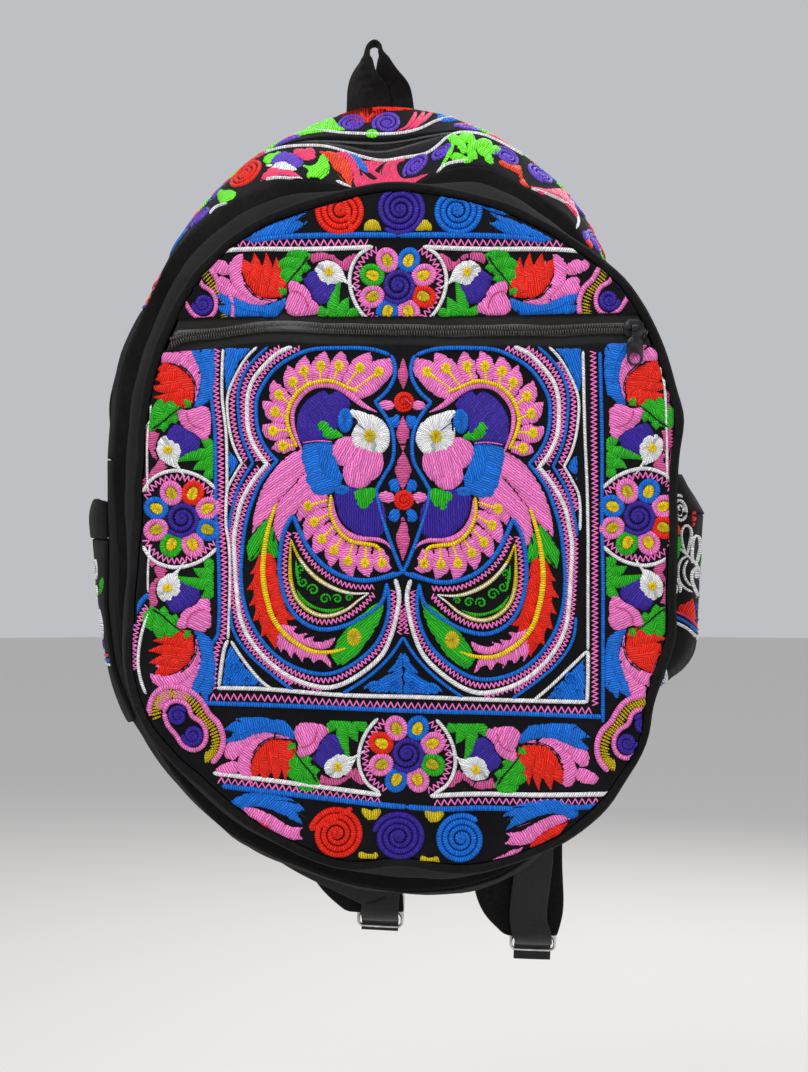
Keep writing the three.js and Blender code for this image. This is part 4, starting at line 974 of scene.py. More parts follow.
def phoenix(put):
    """The left-hand bird of the middle field."""
    # the two long tail feathers
    put.satin("pink", [(302, 449, 1), (289, 455), (278, 465), (266, 481), (258, 498), (253, 519),
        (252, 535, 1), (258, 527), (270, 517), (276, 506), (284, 496), (295, 483), (306, 472, 1)],
        35, lift=1.2)
    put.satin("pink", [(306, 470, 1), (295, 484), (283, 497), (276, 507), (274, 519), (273, 531),
        (281, 544, 1), (284, 530), (293, 516), (304, 505), (317, 495, 1)], 40, lift=1.2)
    # green over the tail's root
    put.satin("green", [(274, 516, 1), (262, 523), (254, 533), (247, 545), (249, 563, 1),
        (258, 556), (266, 548), (269, 532)], 60, lift=1.1)
    put.satin("green", [(272, 525, 1), (277, 538), (279, 558, 1), (271, 556), (266, 549),
        (268, 537)], 110, lift=1.1)
    nicks(put, 1.0, [(251, 560), (259, 548), (268, 530)], [(275, 532), (273, 545), (277, 556)])
    put.band("red", [(266, 552), (262, 575), (262, 600), (267, 628), (274, 645)], [8, 17, 18, 13,
        3], lift=1.0)
    lobes(put, "red", [(266, 552), (263, 574), (263, 598), (269, 626)], [(250, 574), (247, 590),
        (249, 606), (253, 621), (261, 637), (275, 649)], 15.0, bow=-0.16)
    put.band("red", [(268, 554), (272, 575), (278, 598), (290, 620)], [5, 12, 11, 2], lift=1.0)
    lobes(put, "red", [(268, 552), (268, 574), (272, 596), (280, 612)], [(279, 571), (285, 586),
        (290, 602), (296, 619), (288, 625)], 14.0, bow=0.16)
    # the pink comb that follows the tail round
    upper = [(274, 615), (284, 624), (302, 626, 1), (294, 632), (311, 632, 1), (304, 638),
        (322, 632, 1), (314, 641), (336, 636, 1), (332, 646), (322, 650), (303, 645), (287, 635)]
    put.satin("pink", upper, 110, lift=1.2)
    lower = [(276, 630), (288, 640), (303, 648), (325, 652), (330, 660), (333, 671, 1), (324, 662),
        (318, 660), (318, 671, 1), (311, 660), (305, 657), (304, 667, 1), (298, 656), (293, 653),
        (294, 664, 1), (287, 652), (283, 649), (285, 659, 1), (278, 647), (273, 636)]
    put.satin("pink", lower, 75, lift=1.2)
    put.satin("green", [(385, 598, 1), (369, 608), (352, 622), (342, 634), (334, 646), (333, 652),
        (342, 666, 1), (359, 653), (371, 637), (381, 618)], 42, lift=1.2)
    put.satin("green", [(330, 653, 1), (344, 651), (352, 655, 1), (344, 661), (338, 666, 1),
        (333, 659)], 150, lift=1.4)
    put.disc("mustard", 354, 637, 7.6, 9.4, lift=0.7, up=1.0)
    put.band("yellow", [(276, 504), (268, 530), (264, 553), (263, 577), (267, 600), (273, 618),
        (283, 632), (296, 643), (312, 651), (330, 652), (346, 648)], [3.2, 5.0, 5.8, 5.0, 4.6, 3.0],
        lift=1.1, up=1.0)
    # the crescent
    left = [(293, 515), (284, 532), (280, 554), (280, 577), (287, 603), (300, 620), (319, 629),
        (341, 627), (363, 617), (381, 603), (387, 583)]
    top = [(293, 515), (300, 532), (312, 553), (330, 570), (352, 579), (372, 580), (396, 573)]
    put.band("blue", left, 4.4, lift=1.2, up=0.5)
    put.band("blue", top, 4.6, lift=1.2, up=0.5)
    put.zigzag("pink", [(289, 532), (285, 556), (285, 579), (292, 602), (305, 616), (322, 622),
        (341, 619), (360, 608), (374, 594)], 5.6, 4.5)
    put.zigzag("pink", [(295, 532), (306, 555), (324, 573), (347, 585), (374, 587)], 5.2, 4.5)
    outer = [(291, 539, 1), (290, 559), (291, 582), (297, 599), (311, 612), (327, 616), (346, 610),
        (359, 600), (369, 593, 1)]
    inner = [(291, 539, 1), (299, 558), (314, 576), (331, 587), (349, 593), (369, 593, 1)]
    put.band("mustard", outer, [2, 4.6, 5, 4.6, 2], lift=1.2)
    put.band("mustard", inner, [2, 4.2, 5, 4.2, 2], lift=1.2)
    put.band("white", inner[1:], [2.0, 2.6, 1.4], lift=0.5, up=1.1, slant=0.8)
    put.band("white", outer[2:], [1.0, 2.2, 1.4], lift=0.5, up=1.1, slant=0.8)
    for x, y, r, turn, hand in ((301, 569, 4.6, 90, 1), (303, 582, 5.4, 250, -1),
                                (313, 590, 6.0, 180, 1), (325, 599, 5.6, 20, -1),
                                (337, 599, 4.8, 200, 1), (349, 598, 3.8, 0, -1)):
        scroll(put, x, y, r, turn, hand, "green")
    put.band("green", [(297, 590), (304, 601), (316, 608), (330, 611), (344, 607)], [1.5, 4.6, 3.0,
        4.4, 1.5], lift=0.8)
    put.band("green", [(296, 560), (297, 573), (300, 586)], [1.5, 4, 2], lift=0.8)
    # the lower crest
    low = [(329, 497), (330, 515), (337, 531), (350, 542), (365, 545), (375, 546), (381, 552)]
    hearts = [(308, 506), (314, 522), (322, 539), (334, 550), (348, 561), (365, 563), (382, 563)]
    tips = [(299, 523), (305, 543), (314, 556), (331, 568), (353, 578), (371, 578), (392, 568)]
    feet = [(328, 500), (330, 513), (334, 526), (342, 537), (353, 543), (366, 546), (379, 548)]
    for foot, heart, tip in zip(feet, hearts, tips):
        petal(put, "pink", foot, heart, tip, 9.6)
    put.satin("purple", [(336, 492), (356, 487), (379, 497), (386, 512), (386, 524), (381, 536),
        (364, 538), (349, 529), (339, 516)], 88, lift=1.1)
    put.satin("green", [(354, 491), (366, 489), (377, 489), (374, 503), (367, 510), (359, 509),
        (353, 501)], 95, lift=0.8, up=0.6)
    put.band("pink", [(331, 496), (334, 516), (343, 530), (357, 538), (375, 539), (386, 543),
        (393, 551)], [4.5, 6.5, 6.5, 6.5, 5, 1.5], lift=1.4)
    put.band("yellow", [(331, 495), (331, 514), (339, 531), (351, 541), (366, 544), (376, 546),
        (381, 552)], [3.5, 4.2, 4.2, 3.6], lift=0.9, up=0.9)
    for foot, heart in zip(feet, hearts):
        drop(put, foot, heart, 4.9)
    # the crest
    feet = [(352, 391), (345, 387), (333, 382), (320, 382), (308, 386), (298, 394), (291, 405),
        (288, 418), (289, 430), (296, 445)]
    hearts = [(379, 372), (360, 368), (339, 366), (321, 366), (304, 371), (293, 382), (279, 395),
        (275, 412), (273, 431), (283, 446)]
    tips = [(389, 357), (371, 352), (341, 350), (326, 350), (306, 355), (288, 364), (273, 379),
        (262, 400), (262, 424), (271, 449)]
    for k, (foot, heart, tip) in enumerate(zip(feet, hearts, tips)):
        petal(put, "pink", foot, heart, tip, (12.5, 11, 10)[min(k, 2)] - (k > 8) * 2)
    put.satin("pink", [(352, 398), (360, 399), (376, 392), (387, 379), (391, 366), (390, 358, 1),
        (380, 366), (368, 382), (356, 390)], 120, lift=1.1)
    put.satin("purple", [(297, 433), (297, 419), (303, 405), (311, 397), (324, 390), (329, 395),
        (335, 390), (346, 396), (351, 405), (346, 411), (340, 418), (338, 430), (336, 440),
        (324, 442), (311, 443), (301, 442)], 130, lift=1.15)
    put.band("pink", [(377, 412), (363, 405), (351, 395), (340, 388), (327, 385), (312, 387),
        (300, 397), (293, 410), (293, 426), (297, 439), (302, 450)], [1.5, 5.5, 8, 7, 6, 6, 6, 5.5,
        5, 4.5, 2.5], lift=1.4)
    put.band("yellow", [(360, 392), (346, 387), (331, 381), (318, 382), (306, 386), (295, 396),
        (289, 408), (287, 419), (290, 432), (297, 447)], [3, 4, 4.2, 4.2, 4, 3], lift=0.9, up=0.9)
    for foot, heart in zip(feet, hearts):
        drop(put, foot, heart, 5.2)
    put.satin("green", [(317, 425), (321, 420), (328, 422), (334, 429), (344, 436, 1), (334, 439),
        (323, 437)], 45, lift=0.9, up=0.8)
    put.disc("blue", 345, 420, 8.2, 13.2, lift=1.3)
    put.disc("blue", 342, 490, 8.5, 5.0, lift=1.0, up=0.4)
    # wing, breast and head
    put.satin("blue", [(303, 445, 1), (318, 442), (332, 443), (332, 457), (337, 469), (343, 476),
        (339, 489), (325, 496), (313, 493), (306, 484), (305, 472), (301, 458)], 20, lift=1.5)
    put.satin("blue", [(318, 445), (330, 446), (333, 460), (341, 474), (334, 482), (323, 474),
        (318, 460)], 75, lift=0.5, up=1.3)
    for x, y, rx, ry, a in ((349, 452, 18, 16, 60), (358, 473, 15.5, 16, 80),
                            (368, 461, 15.5, 20, 75)):
        put.satin("pink", [(x + rx * math.cos(t), y + ry * math.sin(t)) for t in np.linspace(0, 2 *
            math.pi, 13)[:-1]], a, lift=1.5, up=0.25 * (x - 349) / 10)
    put.satin("white", [(350, 411), (356, 410), (366, 413), (377, 417), (386, 425), (390, 435),
        (388, 447), (380, 454), (369, 456), (358, 451), (352, 443), (352, 433), (357, 425, 1),
        (358, 421), (354, 418)], fan=(370, 436), lift=1.8, up=0.3)
    put.disc("mustard", 370, 436, 6.2, 6.8, lift=0.6, up=2.0)
    put.band("purple", [(352, 421), (360, 426), (366, 431)], 0.9, lift=0.25, up=2.1)
    put.band("pink", [(303, 443), (318, 441), (332, 442)], 1.3, lift=0.4, up=1.5)


def frame_lines(put, jogged):
    """Half of the middle field's frames: coloured lines with zigzags between them. The left
    half's uprights are jogged where the cloth creases; the right half's run straight."""
    upright = [(212, 350), (211, 391), (215, 433), (216, 517), (219, 573), (218, 634), (212, 645),
        (208, 681), (206, 704)]
    white = [(223, 349), (222, 395), (226, 433), (227, 480), (226, 524), (229, 545), (230, 575),
        (229, 617), (228, 639)]
    zigzag = [(217, 349), (216, 393), (220, 433), (221, 480), (221, 520), (224, 560), (224, 600),
        (223, 636), (217, 648), (213, 690)]
    foot = [(228, 640, 1), (224, 650), (219, 686, 1)]
    slope = [(231, 641), (242, 658), (259, 679), (274, 691)]
    wedge = [(231, 644, 1), (241, 660), (264, 686, 1), (222, 686, 1), (226, 657)]
    if not jogged:
        upright = [(206, 352), (205, 391), (204, 433), (204, 517), (203, 573), (203, 634),
            (203, 708)]
        white = [(223, 351), (222, 395), (221, 433), (219, 480), (218, 524), (218, 575), (218, 639)]
        zigzag = [(213, 351), (212, 393), (212, 433), (211, 480), (211, 520), (211, 600),
            (211, 692)]
        foot = [(218, 640, 1), (218, 662), (219, 690, 1)]
        slope = [(219, 640), (234, 655), (254, 675), (272, 691)]
        wedge = [(221, 646, 1), (234, 660), (260, 688, 1), (221, 689, 1)]
    put.band("blue", upright, 4.2, lift=1.1)
    put.band("white", white, 3.4, lift=1.2, slant=0.7)
    put.band("white", foot, 4.2, lift=1.2, slant=0.7)
    put.zigzag("pink", zigzag, 6.4, 4.7)
    # blue grounds outside the medallion
    put.satin("blue", [(225, 348, 1), (252, 348, 1), (245, 356), (237, 368), (227, 394, 1),
        (224, 372)], 70, lift=0.9)
    put.satin("blue", [(229, 450, 1), (239, 462, 1), (229, 478, 1), (228, 464)], 90, lift=0.9)
    put.satin("blue", wedge, 60, lift=0.7)
    scroll(put, 236, 668, 7.0, 120, 1)
    scroll(put, 247, 680, 4.5, 0, -1)
    scroll(put, 229, 680, 4.0, 200, 1)
    # the medallion's rings
    put.band("white", [(257, 347), (247, 357), (238, 371), (228, 395), (228, 419), (233, 444),
        (242, 463, 1), (234, 476), (227, 491), (226, 524)], 3.2, lift=1.2, slant=0.7)
    put.band("blue", [(268, 347), (253, 361), (243, 376), (238, 394), (239, 419), (243, 440),
        (253, 463, 1), (239, 487), (231, 514), (229, 530)], 3.6, lift=1.1)
    put.band("blue", [(230, 608), (234, 632), (249, 654), (270, 673), (294, 691)], 3.6, lift=1.1)
    put.band("white", slope, 3.6, lift=1.2, slant=0.7)
    put.band("white", [(292, 347), (278, 353), (264, 366), (253, 380), (248, 395), (247, 413),
        (249, 433), (257, 451), (267, 464, 1), (251, 484), (241, 503), (237, 520), (234, 538),
        (235, 566), (237, 595), (240, 617), (249, 638), (267, 660), (290, 677), (319, 687),
        (337, 686), (359, 675), (381, 656), (391, 636), (397, 613), (399, 595), (395, 579)], 5.0,
        lift=1.4, slant=0.7)
    put.band("blue", [(390, 355, 1), (370, 349), (338, 348), (310, 350), (289, 359), (275, 369),
        (264, 383), (257, 398), (256, 413), (258, 430), (265, 447), (277, 461, 1), (261, 481),
        (253, 499), (246, 522), (242, 551), (241, 580), (244, 603), (252, 625), (267, 647),
        (286, 663), (308, 672), (327, 674), (344, 669), (363, 657), (378, 641), (387, 620),
        (389, 603), (387, 585)], 4.4, lift=1.2)
    put.band("blue", [(391, 355), (395, 366), (394, 378), (387, 391), (375, 402, 1), (386, 417),
        (392, 430), (394, 447), (392, 462), (384, 476), (376, 490, 1), (380, 510), (390, 541),
        (398, 562), (403, 573)], 4.4, lift=1.2)
    put.band("blue", [(403, 572), (392, 576), (372, 580)], 4.6, lift=1.2)
    put.zigzag("pink", [(249, 362), (240, 373), (233, 395), (233, 419), (238, 442), (246, 461)],
        5.6, 4.6)
    put.zigzag("pink", [(246, 465), (236, 482), (229, 505)], 5.6, 4.6)
    put.zigzag("pink", [(280, 348), (262, 359), (248, 377), (243, 395), (243, 414), (246, 436),
        (259, 461)], 6.0, 4.6)
    put.zigzag("pink", [(259, 467), (246, 484), (236, 503), (231, 530), (231, 560), (233, 595),
        (237, 622), (247, 644), (268, 666), (292, 684)], 5.4, 4.6)
    put.zigzag("pink", [(300, 348), (275, 361), (259, 380), (252, 397), (251, 414), (253, 432),
        (261, 449), (271, 461)], 5.4, 4.6)
    put.zigzag("pink", [(271, 465), (256, 482), (247, 501), (240, 528), (238, 560), (239, 592),
        (243, 615), (251, 633), (267, 654), (289, 670), (318, 680), (338, 678), (360, 665),
        (379, 648), (389, 630), (393, 610), (393, 590)], 5.6, 4.6)
    put.zigzag("pink", [(250, 638), (268, 662), (292, 680), (322, 691)], 4.6, 4.6)
    # the blue ground and curls under the middle
    put.band("blue", [(403, 637, 1), (392, 654), (380, 667), (364, 680), (342, 694)], 3.8, lift=1.1)
    put.satin("blue", [(403, 650, 1), (397, 658), (393, 670), (378, 680), (362, 687, 1),
        (370, 692, 1), (403, 694, 1)], 30, lift=0.6)
    scroll(put, 395, 684, 6.6, 60, 1)
    put.band("blue", [(364, 689), (374, 683), (384, 688), (376, 692)], [2, 5, 4, 2], lift=0.8,
        up=0.5)
    put.band("blue", [(388, 672), (394, 668), (400, 660)], [2, 5, 2], lift=0.8, up=0.6)
    put.zigzag("pink", [(399, 600), (401, 620), (399, 634)], 5.0, 4.4)
    # small petals and blue grounds of the middle column
    put.satin("pink", [(378, 405), (384, 400), (393, 402), (394, 408), (384, 410)], 10, lift=1.0)
    put.satin("pink", [(378, 497), (384, 491), (393, 494), (394, 501), (384, 503)], 10, lift=1.0)
    for y, s in ((421, 1), (486, -1), (515, 1)):
        put.satin("blue", [(398, y - 7 * s), (391, y - 5 * s), (388, y + 2 * s),
                           (395, y + 8 * s), (400, y + 2 * s)], 40, lift=0.8)


def middle_column(put):
    for top, bottom, half in ((357, 392, 5.4), (415, 452, 7.0), (450, 491, 8.6),
                              (514, 562, 7.3)):
        middle = (top + bottom) / 2
        put.satin("mauve", [(AXIS, top, 1), (AXIS + half * 0.6, (top + middle) / 2),
                            (AXIS + half, middle), (AXIS + half * 0.6, (bottom + middle) / 2),
                            (AXIS, bottom, 1), (AXIS - half * 0.6, (bottom + middle) / 2),
                            (AXIS - half, middle), (AXIS - half * 0.6, (top + middle) / 2)], 0,
                  lift=1.1)
    for y in (402, 500):
        put.disc("red", 404, y, 10.5, lift=0.6)
        put.moved(put.at, put.up + 0.2).spiral("red", 404, y, 10.5, 2.3, width=3.4)
    put.band("mauve", [(405, 399), (413, 406)], 1.4, lift=0.5, up=1.7, straight=True)


# The pocket's panel

upper_face, lower_face = Face(cloth["pocket_face_upper"]), Face(cloth["pocket_face_lower"])
upper, lower = Needle(upper_face, "upper"), Needle(lower_face, "lower")


def mirrored(x, y):
    """The right half of the middle field. The panel is sewn in a little askew."""
    askew = np.clip((y - 350) / 340, 0, 1.3)
    return 2.0 * AXIS - x, y + 0.07 * (AXIS - x) * askew


def turned(cx, cy, ax, ay, bx, by):
    """Places what is drawn about the hub about (cx, cy) instead: its
    x runs along (ax, ay) and its upward way along (bx, by)."""
    return lambda x, y: (cx + (x - HUB_X) * ax + (HUB_Y - y) * bx,
                         cy + (x - HUB_X) * ay + (HUB_Y - y) * by)


for half in (lower, lower.moved(mirrored)):
    frame_lines(half, half is lower)
    phoenix(half)
middle_column(lower)
lower.band("white", [(217, 688), (264, 689), (341, 695), (415, 697), (500, 700), (587, 702)], 4.6,
    lift=1.3, slant=0.7)
lower.zigzag("pink", [(210, 697), (264, 698), (341, 703), (415, 706), (500, 708), (592, 711)], 7.0,
    6.8)
lower.band("blue", [(205, 703), (264, 705), (341, 708), (415, 711), (500, 713), (602, 717)], 5.2,
    lift=1.2)

FLOWERS = [(upper, HUB_X, HUB_Y, (1, 0), (0, -1), "pink blue pink red pink blue pink green"), (lower,
    407, 754, (1, 0.02), (0, 1), "pink blue pink green pink blue pink red"), (lower, 182, 519,
    (0, 1), (-1, 0), "pink red pink blue pink green pink blue"), (lower, 638, 517, (0, 1), (1, 0),
    "pink blue pink red pink green pink blue"),]
for needle, x, y, ahead, outward, colours in FLOWERS:
    for s in (1, -1):
        place = turned(x, y, ahead[0] * s, ahead[1] * s, *outward)
        small_bird(needle.moved(place))
    arcs(needle.moved(turned(x, y, *ahead, *outward)))
    flower(needle, x, y, colours.split())

# the rows of coils above and below, with their lines
for s in (1, -1):
    top = upper.moved(lambda x, y, s=s: (HUB_X + s * (x - HUB_X), y))
    top.band("blue", [(398, 235), (340, 235), (282, 237), (250, 241)], 6.2, lift=1.2)
    top.zigzag("pink", [(232, 244), (300, 243), (368, 243)], 7.0, 7.4)
    top.band("white", [(216, 251), (250, 249), (310, 249), (373, 247)], 5.0, lift=1.3, slant=0.7)
    top.satin("blue", [(309, 212, 1), (300, 214), (270, 225), (240, 241, 1), (282, 238), (301, 228),
        (310, 220, 1), (300, 221)], 60, lift=1.2)
    top.satin("blue", [(316, 202), (300, 203), (286, 212), (306, 211, 1)], 60, lift=1.0)
    nicks(top, 1.1, [(306, 216), (286, 226), (262, 238)], [(312, 206), (300, 208), (290, 211)])
    top.band("pink", [(230, 238), (262, 222), (296, 208)], [2, 5, 4], lift=0.8)
    top.satin("mustard", [(364, 231, 1), (365, 223), (372, 219), (380, 223), (382, 231, 1)],
        fan=(373, 236), lift=1.1)
upper.spiral("red", 341, 211, 27.5, 3.7, start=10, tail=[(352, 234)])
upper.spiral("purple", 400, 209, 27.5, 3.8, start=200)
upper.spiral("blue", 457, 211, 27.0, 3.7, start=170, hand=-1)

for s in (1, -1):
    def bottom_half(x, y, s=s):
        return (AXIS + s * (x - AXIS) + (3 if s < 0 else 0),
                y + (0 if s > 0 else 0.05 * (AXIS - x)))
    low = lower.moved(bottom_half)
    if s > 0:
        low.band("white", [(213, 773), (306, 785), (381, 795)], 5.2, lift=1.3, slant=0.7)
        low.zigzag("pink", [(218, 780), (306, 791), (381, 801)], 6.4, 6.9)
        low.band("blue", [(222, 786), (306, 796), (383, 805), (407, 807)], 6.2, lift=1.2)
    low.satin("blue", [(230, 806), (236, 797), (255, 792), (278, 795), (296, 801), (308, 814, 1),
        (300, 812), (304, 826, 1), (286, 817), (268, 809), (250, 807), (240, 811)], 45, lift=1.2)
    nicks(low, 1.1, [(306, 818), (286, 806), (256, 799)], [(298, 803), (278, 800), (252, 802)])
    low.satin("pink", [(238, 809), (256, 808), (277, 818), (290, 826), (307, 827, 1), (300, 832),
        (305, 839, 1), (294, 840), (280, 838), (262, 824), (246, 815)], 60, lift=1.2)
    low.satin("red", [(240, 813, 1), (258, 820), (272, 830), (279, 842), (270, 842), (252, 829)],
        30, lift=1.2)
    low.satin("pink", [(285, 841, 1), (300, 846), (318, 857, 1), (300, 855)], 60, lift=1.1)
    corner(lower.moved(bottom_half, 0.7) if s > 0 else lower.moved(
        lambda x, y: (820 - x, y + 8), 0.7))
lower.band("white", [(430, 796), (480, 794), (540, 795), (614, 794)], 5.2, lift=1.3, slant=0.7)
lower.zigzag("pink", [(434, 803), (480, 801), (540, 802), (606, 801)], 6.4, 6.9)
lower.band("blue", [(407, 807), (440, 809), (480, 808), (540, 809), (600, 806)], 6.2, lift=1.2)
lower.spiral("red", 337, 834, 28.5, 3.8, start=120, hand=-1, tail=[(352, 808)])
lower.spiral("purple", 399, 837, 28.5, 3.8, start=120, hand=-1, squash=0.94)
lower.spiral("blue", 461, 839, 27.0, 3.7, start=60)
for x, y in ((371, 814), (434, 816), (368, 858), (430, 862)):
    lower.satin("mustard", [(x - 9, y - 6), (x, y - 4), (x + 9, y - 6), (x + 9, y + 2),
                            (x, y + 7), (x - 8, y + 2)], 90, lift=1.1)

# lines down the outer edges
lower.band("white", [(151, 405), (148, 430), (147, 460), (148, 492)], 2.6, lift=1.0, slant=0.7)
lower.zigzag("mauve", [(148, 425), (145, 460), (145, 492)], 4.0, 3.4)
lower.band("white", [(150, 545), (148, 570), (148, 592)], 2.6, lift=1.0, slant=0.7)
lower.band("blue", [(149, 594), (139, 605), (131, 624), (129, 642), (130, 662)], 6.0, lift=1.2)
lower.zigzag("pink", [(147, 606), (138, 624), (134, 645), (135, 670)], 6.0, 4.4)
lower.band("white", [(149, 612), (141, 636), (138, 662), (141, 681), (146, 694)], 3.6, lift=1.2,
    slant=0.7)

lower.band("white", [(661, 365), (665, 390), (666, 415), (667, 452), (667, 480)], 3.2, lift=1.1,
    slant=0.7)
lower.zigzag("mauve", [(665, 372), (669, 395), (670, 415), (671, 452), (671, 480)], 4.0, 3.6)

for s, x, y in ((1, 0, 0), (-1, 812, -4)):
    corner(upper.moved(lambda u, v: (x + s * (u + 10), v - 431 + y)))

# The gusset's embroidery, round the main zip

front_strip = Needle(Round(cloth["arch_strip_front"]), "front_strip")
back_strip = Needle(Round(cloth["arch_strip_back"]), "back_strip")
front_laid = Needle(Laid(cloth["arch_strip_front"]), "front_strip")
back_laid = Needle(Laid(cloth["arch_strip_back"]), "back_strip")


def round_spiral(seen, laid, colour, x, y, r, turns=2.6, squash=1.2):
    """A coil of real radius r (half millimetres) where the photograph shows its middle."""
    s, w = seen.flat([(x, y)])[0] * 2
    laid.moved(lambda u, v: (s + u, w + v)).spiral(colour, 0, 0, r, turns, lift=1.1, squash=squash,
                                                   width=r / (turns + 0.35) * 0.74)


def oval_spiral(needle, colour, x, y, rx, ry, tilt, turns):
    """A coil seen aslant: rx along the tilt (degrees down from the right), ry across it."""
    c, s = math.cos(math.radians(tilt)), math.sin(math.radians(tilt))
    own = needle.moved(lambda u, v: needle.at(x + u * rx * c - v * ry * s,
                                              y + u * rx * s + v * ry * c))
    pitch = 1.0 / (turns + 0.35)
    path = []
    steps = int(turns * 14)
    for k in range(steps + 1):
        b = 2 * math.pi * turns * k / steps
        far = pitch * (0.3 + turns * k / steps)
        path.append((far * math.cos(b), far * math.sin(b)))
    thick = pitch * math.sqrt(rx * ry) * 0.9
    own.band(colour, path, [thick * 0.7, thick, thick], lift=1.0, step=1.0)


put = front_strip
put.satin("orange", [(147, 312, 1), (146, 302), (151, 294, 1), (151, 303)], 60)
put.satin("hot", [(152, 298, 1), (155, 288), (160, 284, 1), (158, 296)], 50)
put.satin("hot", [(158, 290, 1), (164, 277), (178, 271, 1), (174, 281), (166, 284)], 40)
round_spiral(front_strip, front_laid, "blue", 183, 250, 21, 3.0)
round_spiral(front_strip, front_laid, "violet", 201, 217, 16)
round_spiral(front_strip, front_laid, "violet", 216, 196, 10, 1.6)
put.satin("lime", [(199, 227), (204, 229), (203, 238), (198, 245), (194, 240), (196, 233)], 0)
put.satin("lime", [(218, 192), (228, 190), (236, 192), (234, 198), (226, 202), (222, 205, 1),
    (218, 200)], 30)
round_spiral(front_strip, front_laid, "red", 244, 174, 22, 3.2)
put.satin("hot", [(259, 183, 1), (267, 170), (276, 168), (291, 170), (304, 180, 1), (288, 176),
    (275, 176)], 10)
put.satin("lime", [(262, 161, 1), (268, 155), (282, 151, 1), (276, 158), (268, 164)], 30)
put.satin("violet", [(271, 160), (284, 152), (295, 155), (304, 162), (297, 168), (284, 163),
    (274, 166)], 30)
put.satin("white", [(265, 165, 1), (275, 164), (284, 162), (293, 166), (298, 170, 1), (286, 172),
    (273, 169)], 80, lift=1.2)
put.satin("hot", [(291, 152), (302, 149), (313, 148, 1), (316, 157), (305, 161, 1), (297, 156)], 20)
put.satin("lime", [(301, 164), (308, 167), (316, 163), (321, 152, 1), (329, 161), (329, 173),
    (322, 179), (313, 181), (305, 175), (309, 171)], 40, lift=1.2)
put.satin("orange", [(319, 152, 1), (335, 153), (348, 162), (353, 175), (350, 190, 1), (345, 180),
    (339, 172, 1), (333, 168), (331, 163)], 70, lift=1.1)
put.satin("blue", [(344, 152, 1), (356, 156), (366, 164), (369, 174, 1), (358, 168), (350, 160)],
    60)
put.satin("hot", [(336, 153), (350, 155), (358, 165), (361, 175), (366, 180), (380, 184, 1),
    (372, 188), (360, 189), (356, 178), (352, 167), (346, 159)], 60, lift=1.1)
put.band("hot", [(373, 160), (372, 171), (380, 178), (379, 186)], [3, 6, 7, 4], lift=1.1)
put.band("hot", [(405, 160), (396, 162), (393, 171), (398, 180), (408, 181), (424, 175)], [4, 8, 10,
    9, 7, 2], lift=1.2)
put.satin("hot", [(348, 160), (356, 169), (366, 177), (376, 180), (380, 171), (386, 163),
    (394, 160), (403, 160, 1), (394, 167), (391, 173), (397, 179), (408, 181), (423, 177, 1),
    (410, 185), (392, 188), (366, 188), (355, 186), (353, 175)], 60, lift=1.0)
nicks(put, 1.0, [(384, 166), (382, 176), (388, 184)], [(360, 174), (362, 182), (366, 187)])
put.band("hot", [(356, 187), (372, 190), (392, 188), (410, 182), (428, 174)], [3, 8, 9, 7, 3],
    lift=1.1)
put.band("hot", [(362, 172), (370, 181), (384, 186)], [2, 7, 3], lift=1.0)
put.band("red", [(384, 182), (389, 186), (393, 181)], [2, 5, 2], lift=1.0)
round_spiral(front_strip, front_laid, "violet", 416, 166, 15)
round_spiral(front_strip, front_laid, "violet", 441, 152, 12, 2.2)
put.satin("orange", [(419, 174), (428, 179), (436, 173, 1), (433, 182), (429, 187, 1), (424, 180)],
    70, lift=1.0)
put.band("lime", [(436, 176), (443, 164), (449, 154), (452, 144)], [2, 5, 7, 5], lift=1.0)
for x, y, rx, ry, a in ((455, 140, 8, 5, 20), (467, 138, 9, 5, 10), (462, 147, 7, 5, 60),
                        (474, 146, 8, 5, -20), (484, 144, 9, 5, 10), (472, 154, 7, 4.5, 40),
                        (484, 152, 8, 4.5, 30), (457, 157, 9, 4, 10), (494, 150, 8, 4.5, 15),
                        (489, 159, 6, 4, 50), (466, 160, 7, 3.5, 0)):
    c, s = math.cos(math.radians(a)), math.sin(math.radians(a))
    put.satin("lime", [(x + rx * math.cos(t) * c - ry * math.sin(t) * s, y + rx * math.cos(t) * s +
        ry * math.sin(t) * c) for t in np.linspace(0, 2 * math.pi, 9)[:-1]], 60 - a, lift=1.2)
round_spiral(front_strip, front_laid, "violet", 507, 157, 16)
round_spiral(front_strip, front_laid, "violet", 541, 175, 18, 2.8)
put.satin("orange", [(499, 161), (511, 165), (521, 167), (523, 178), (531, 189, 1), (521, 185),
    (518, 174), (508, 169)], 60, lift=1.0)
put.satin("hot", [(529, 186, 1), (544, 189), (561, 189), (568, 195), (575, 207), (580, 222, 1),
    (573, 213), (565, 204), (553, 197), (541, 194)], 60, lift=1.1)
put.satin("violet", [(583, 230), (588, 234), (590, 240), (586, 243), (583, 237)], 60)
put.satin("red", [(586, 238), (591, 243), (593, 249, 1), (588, 247)], 60)

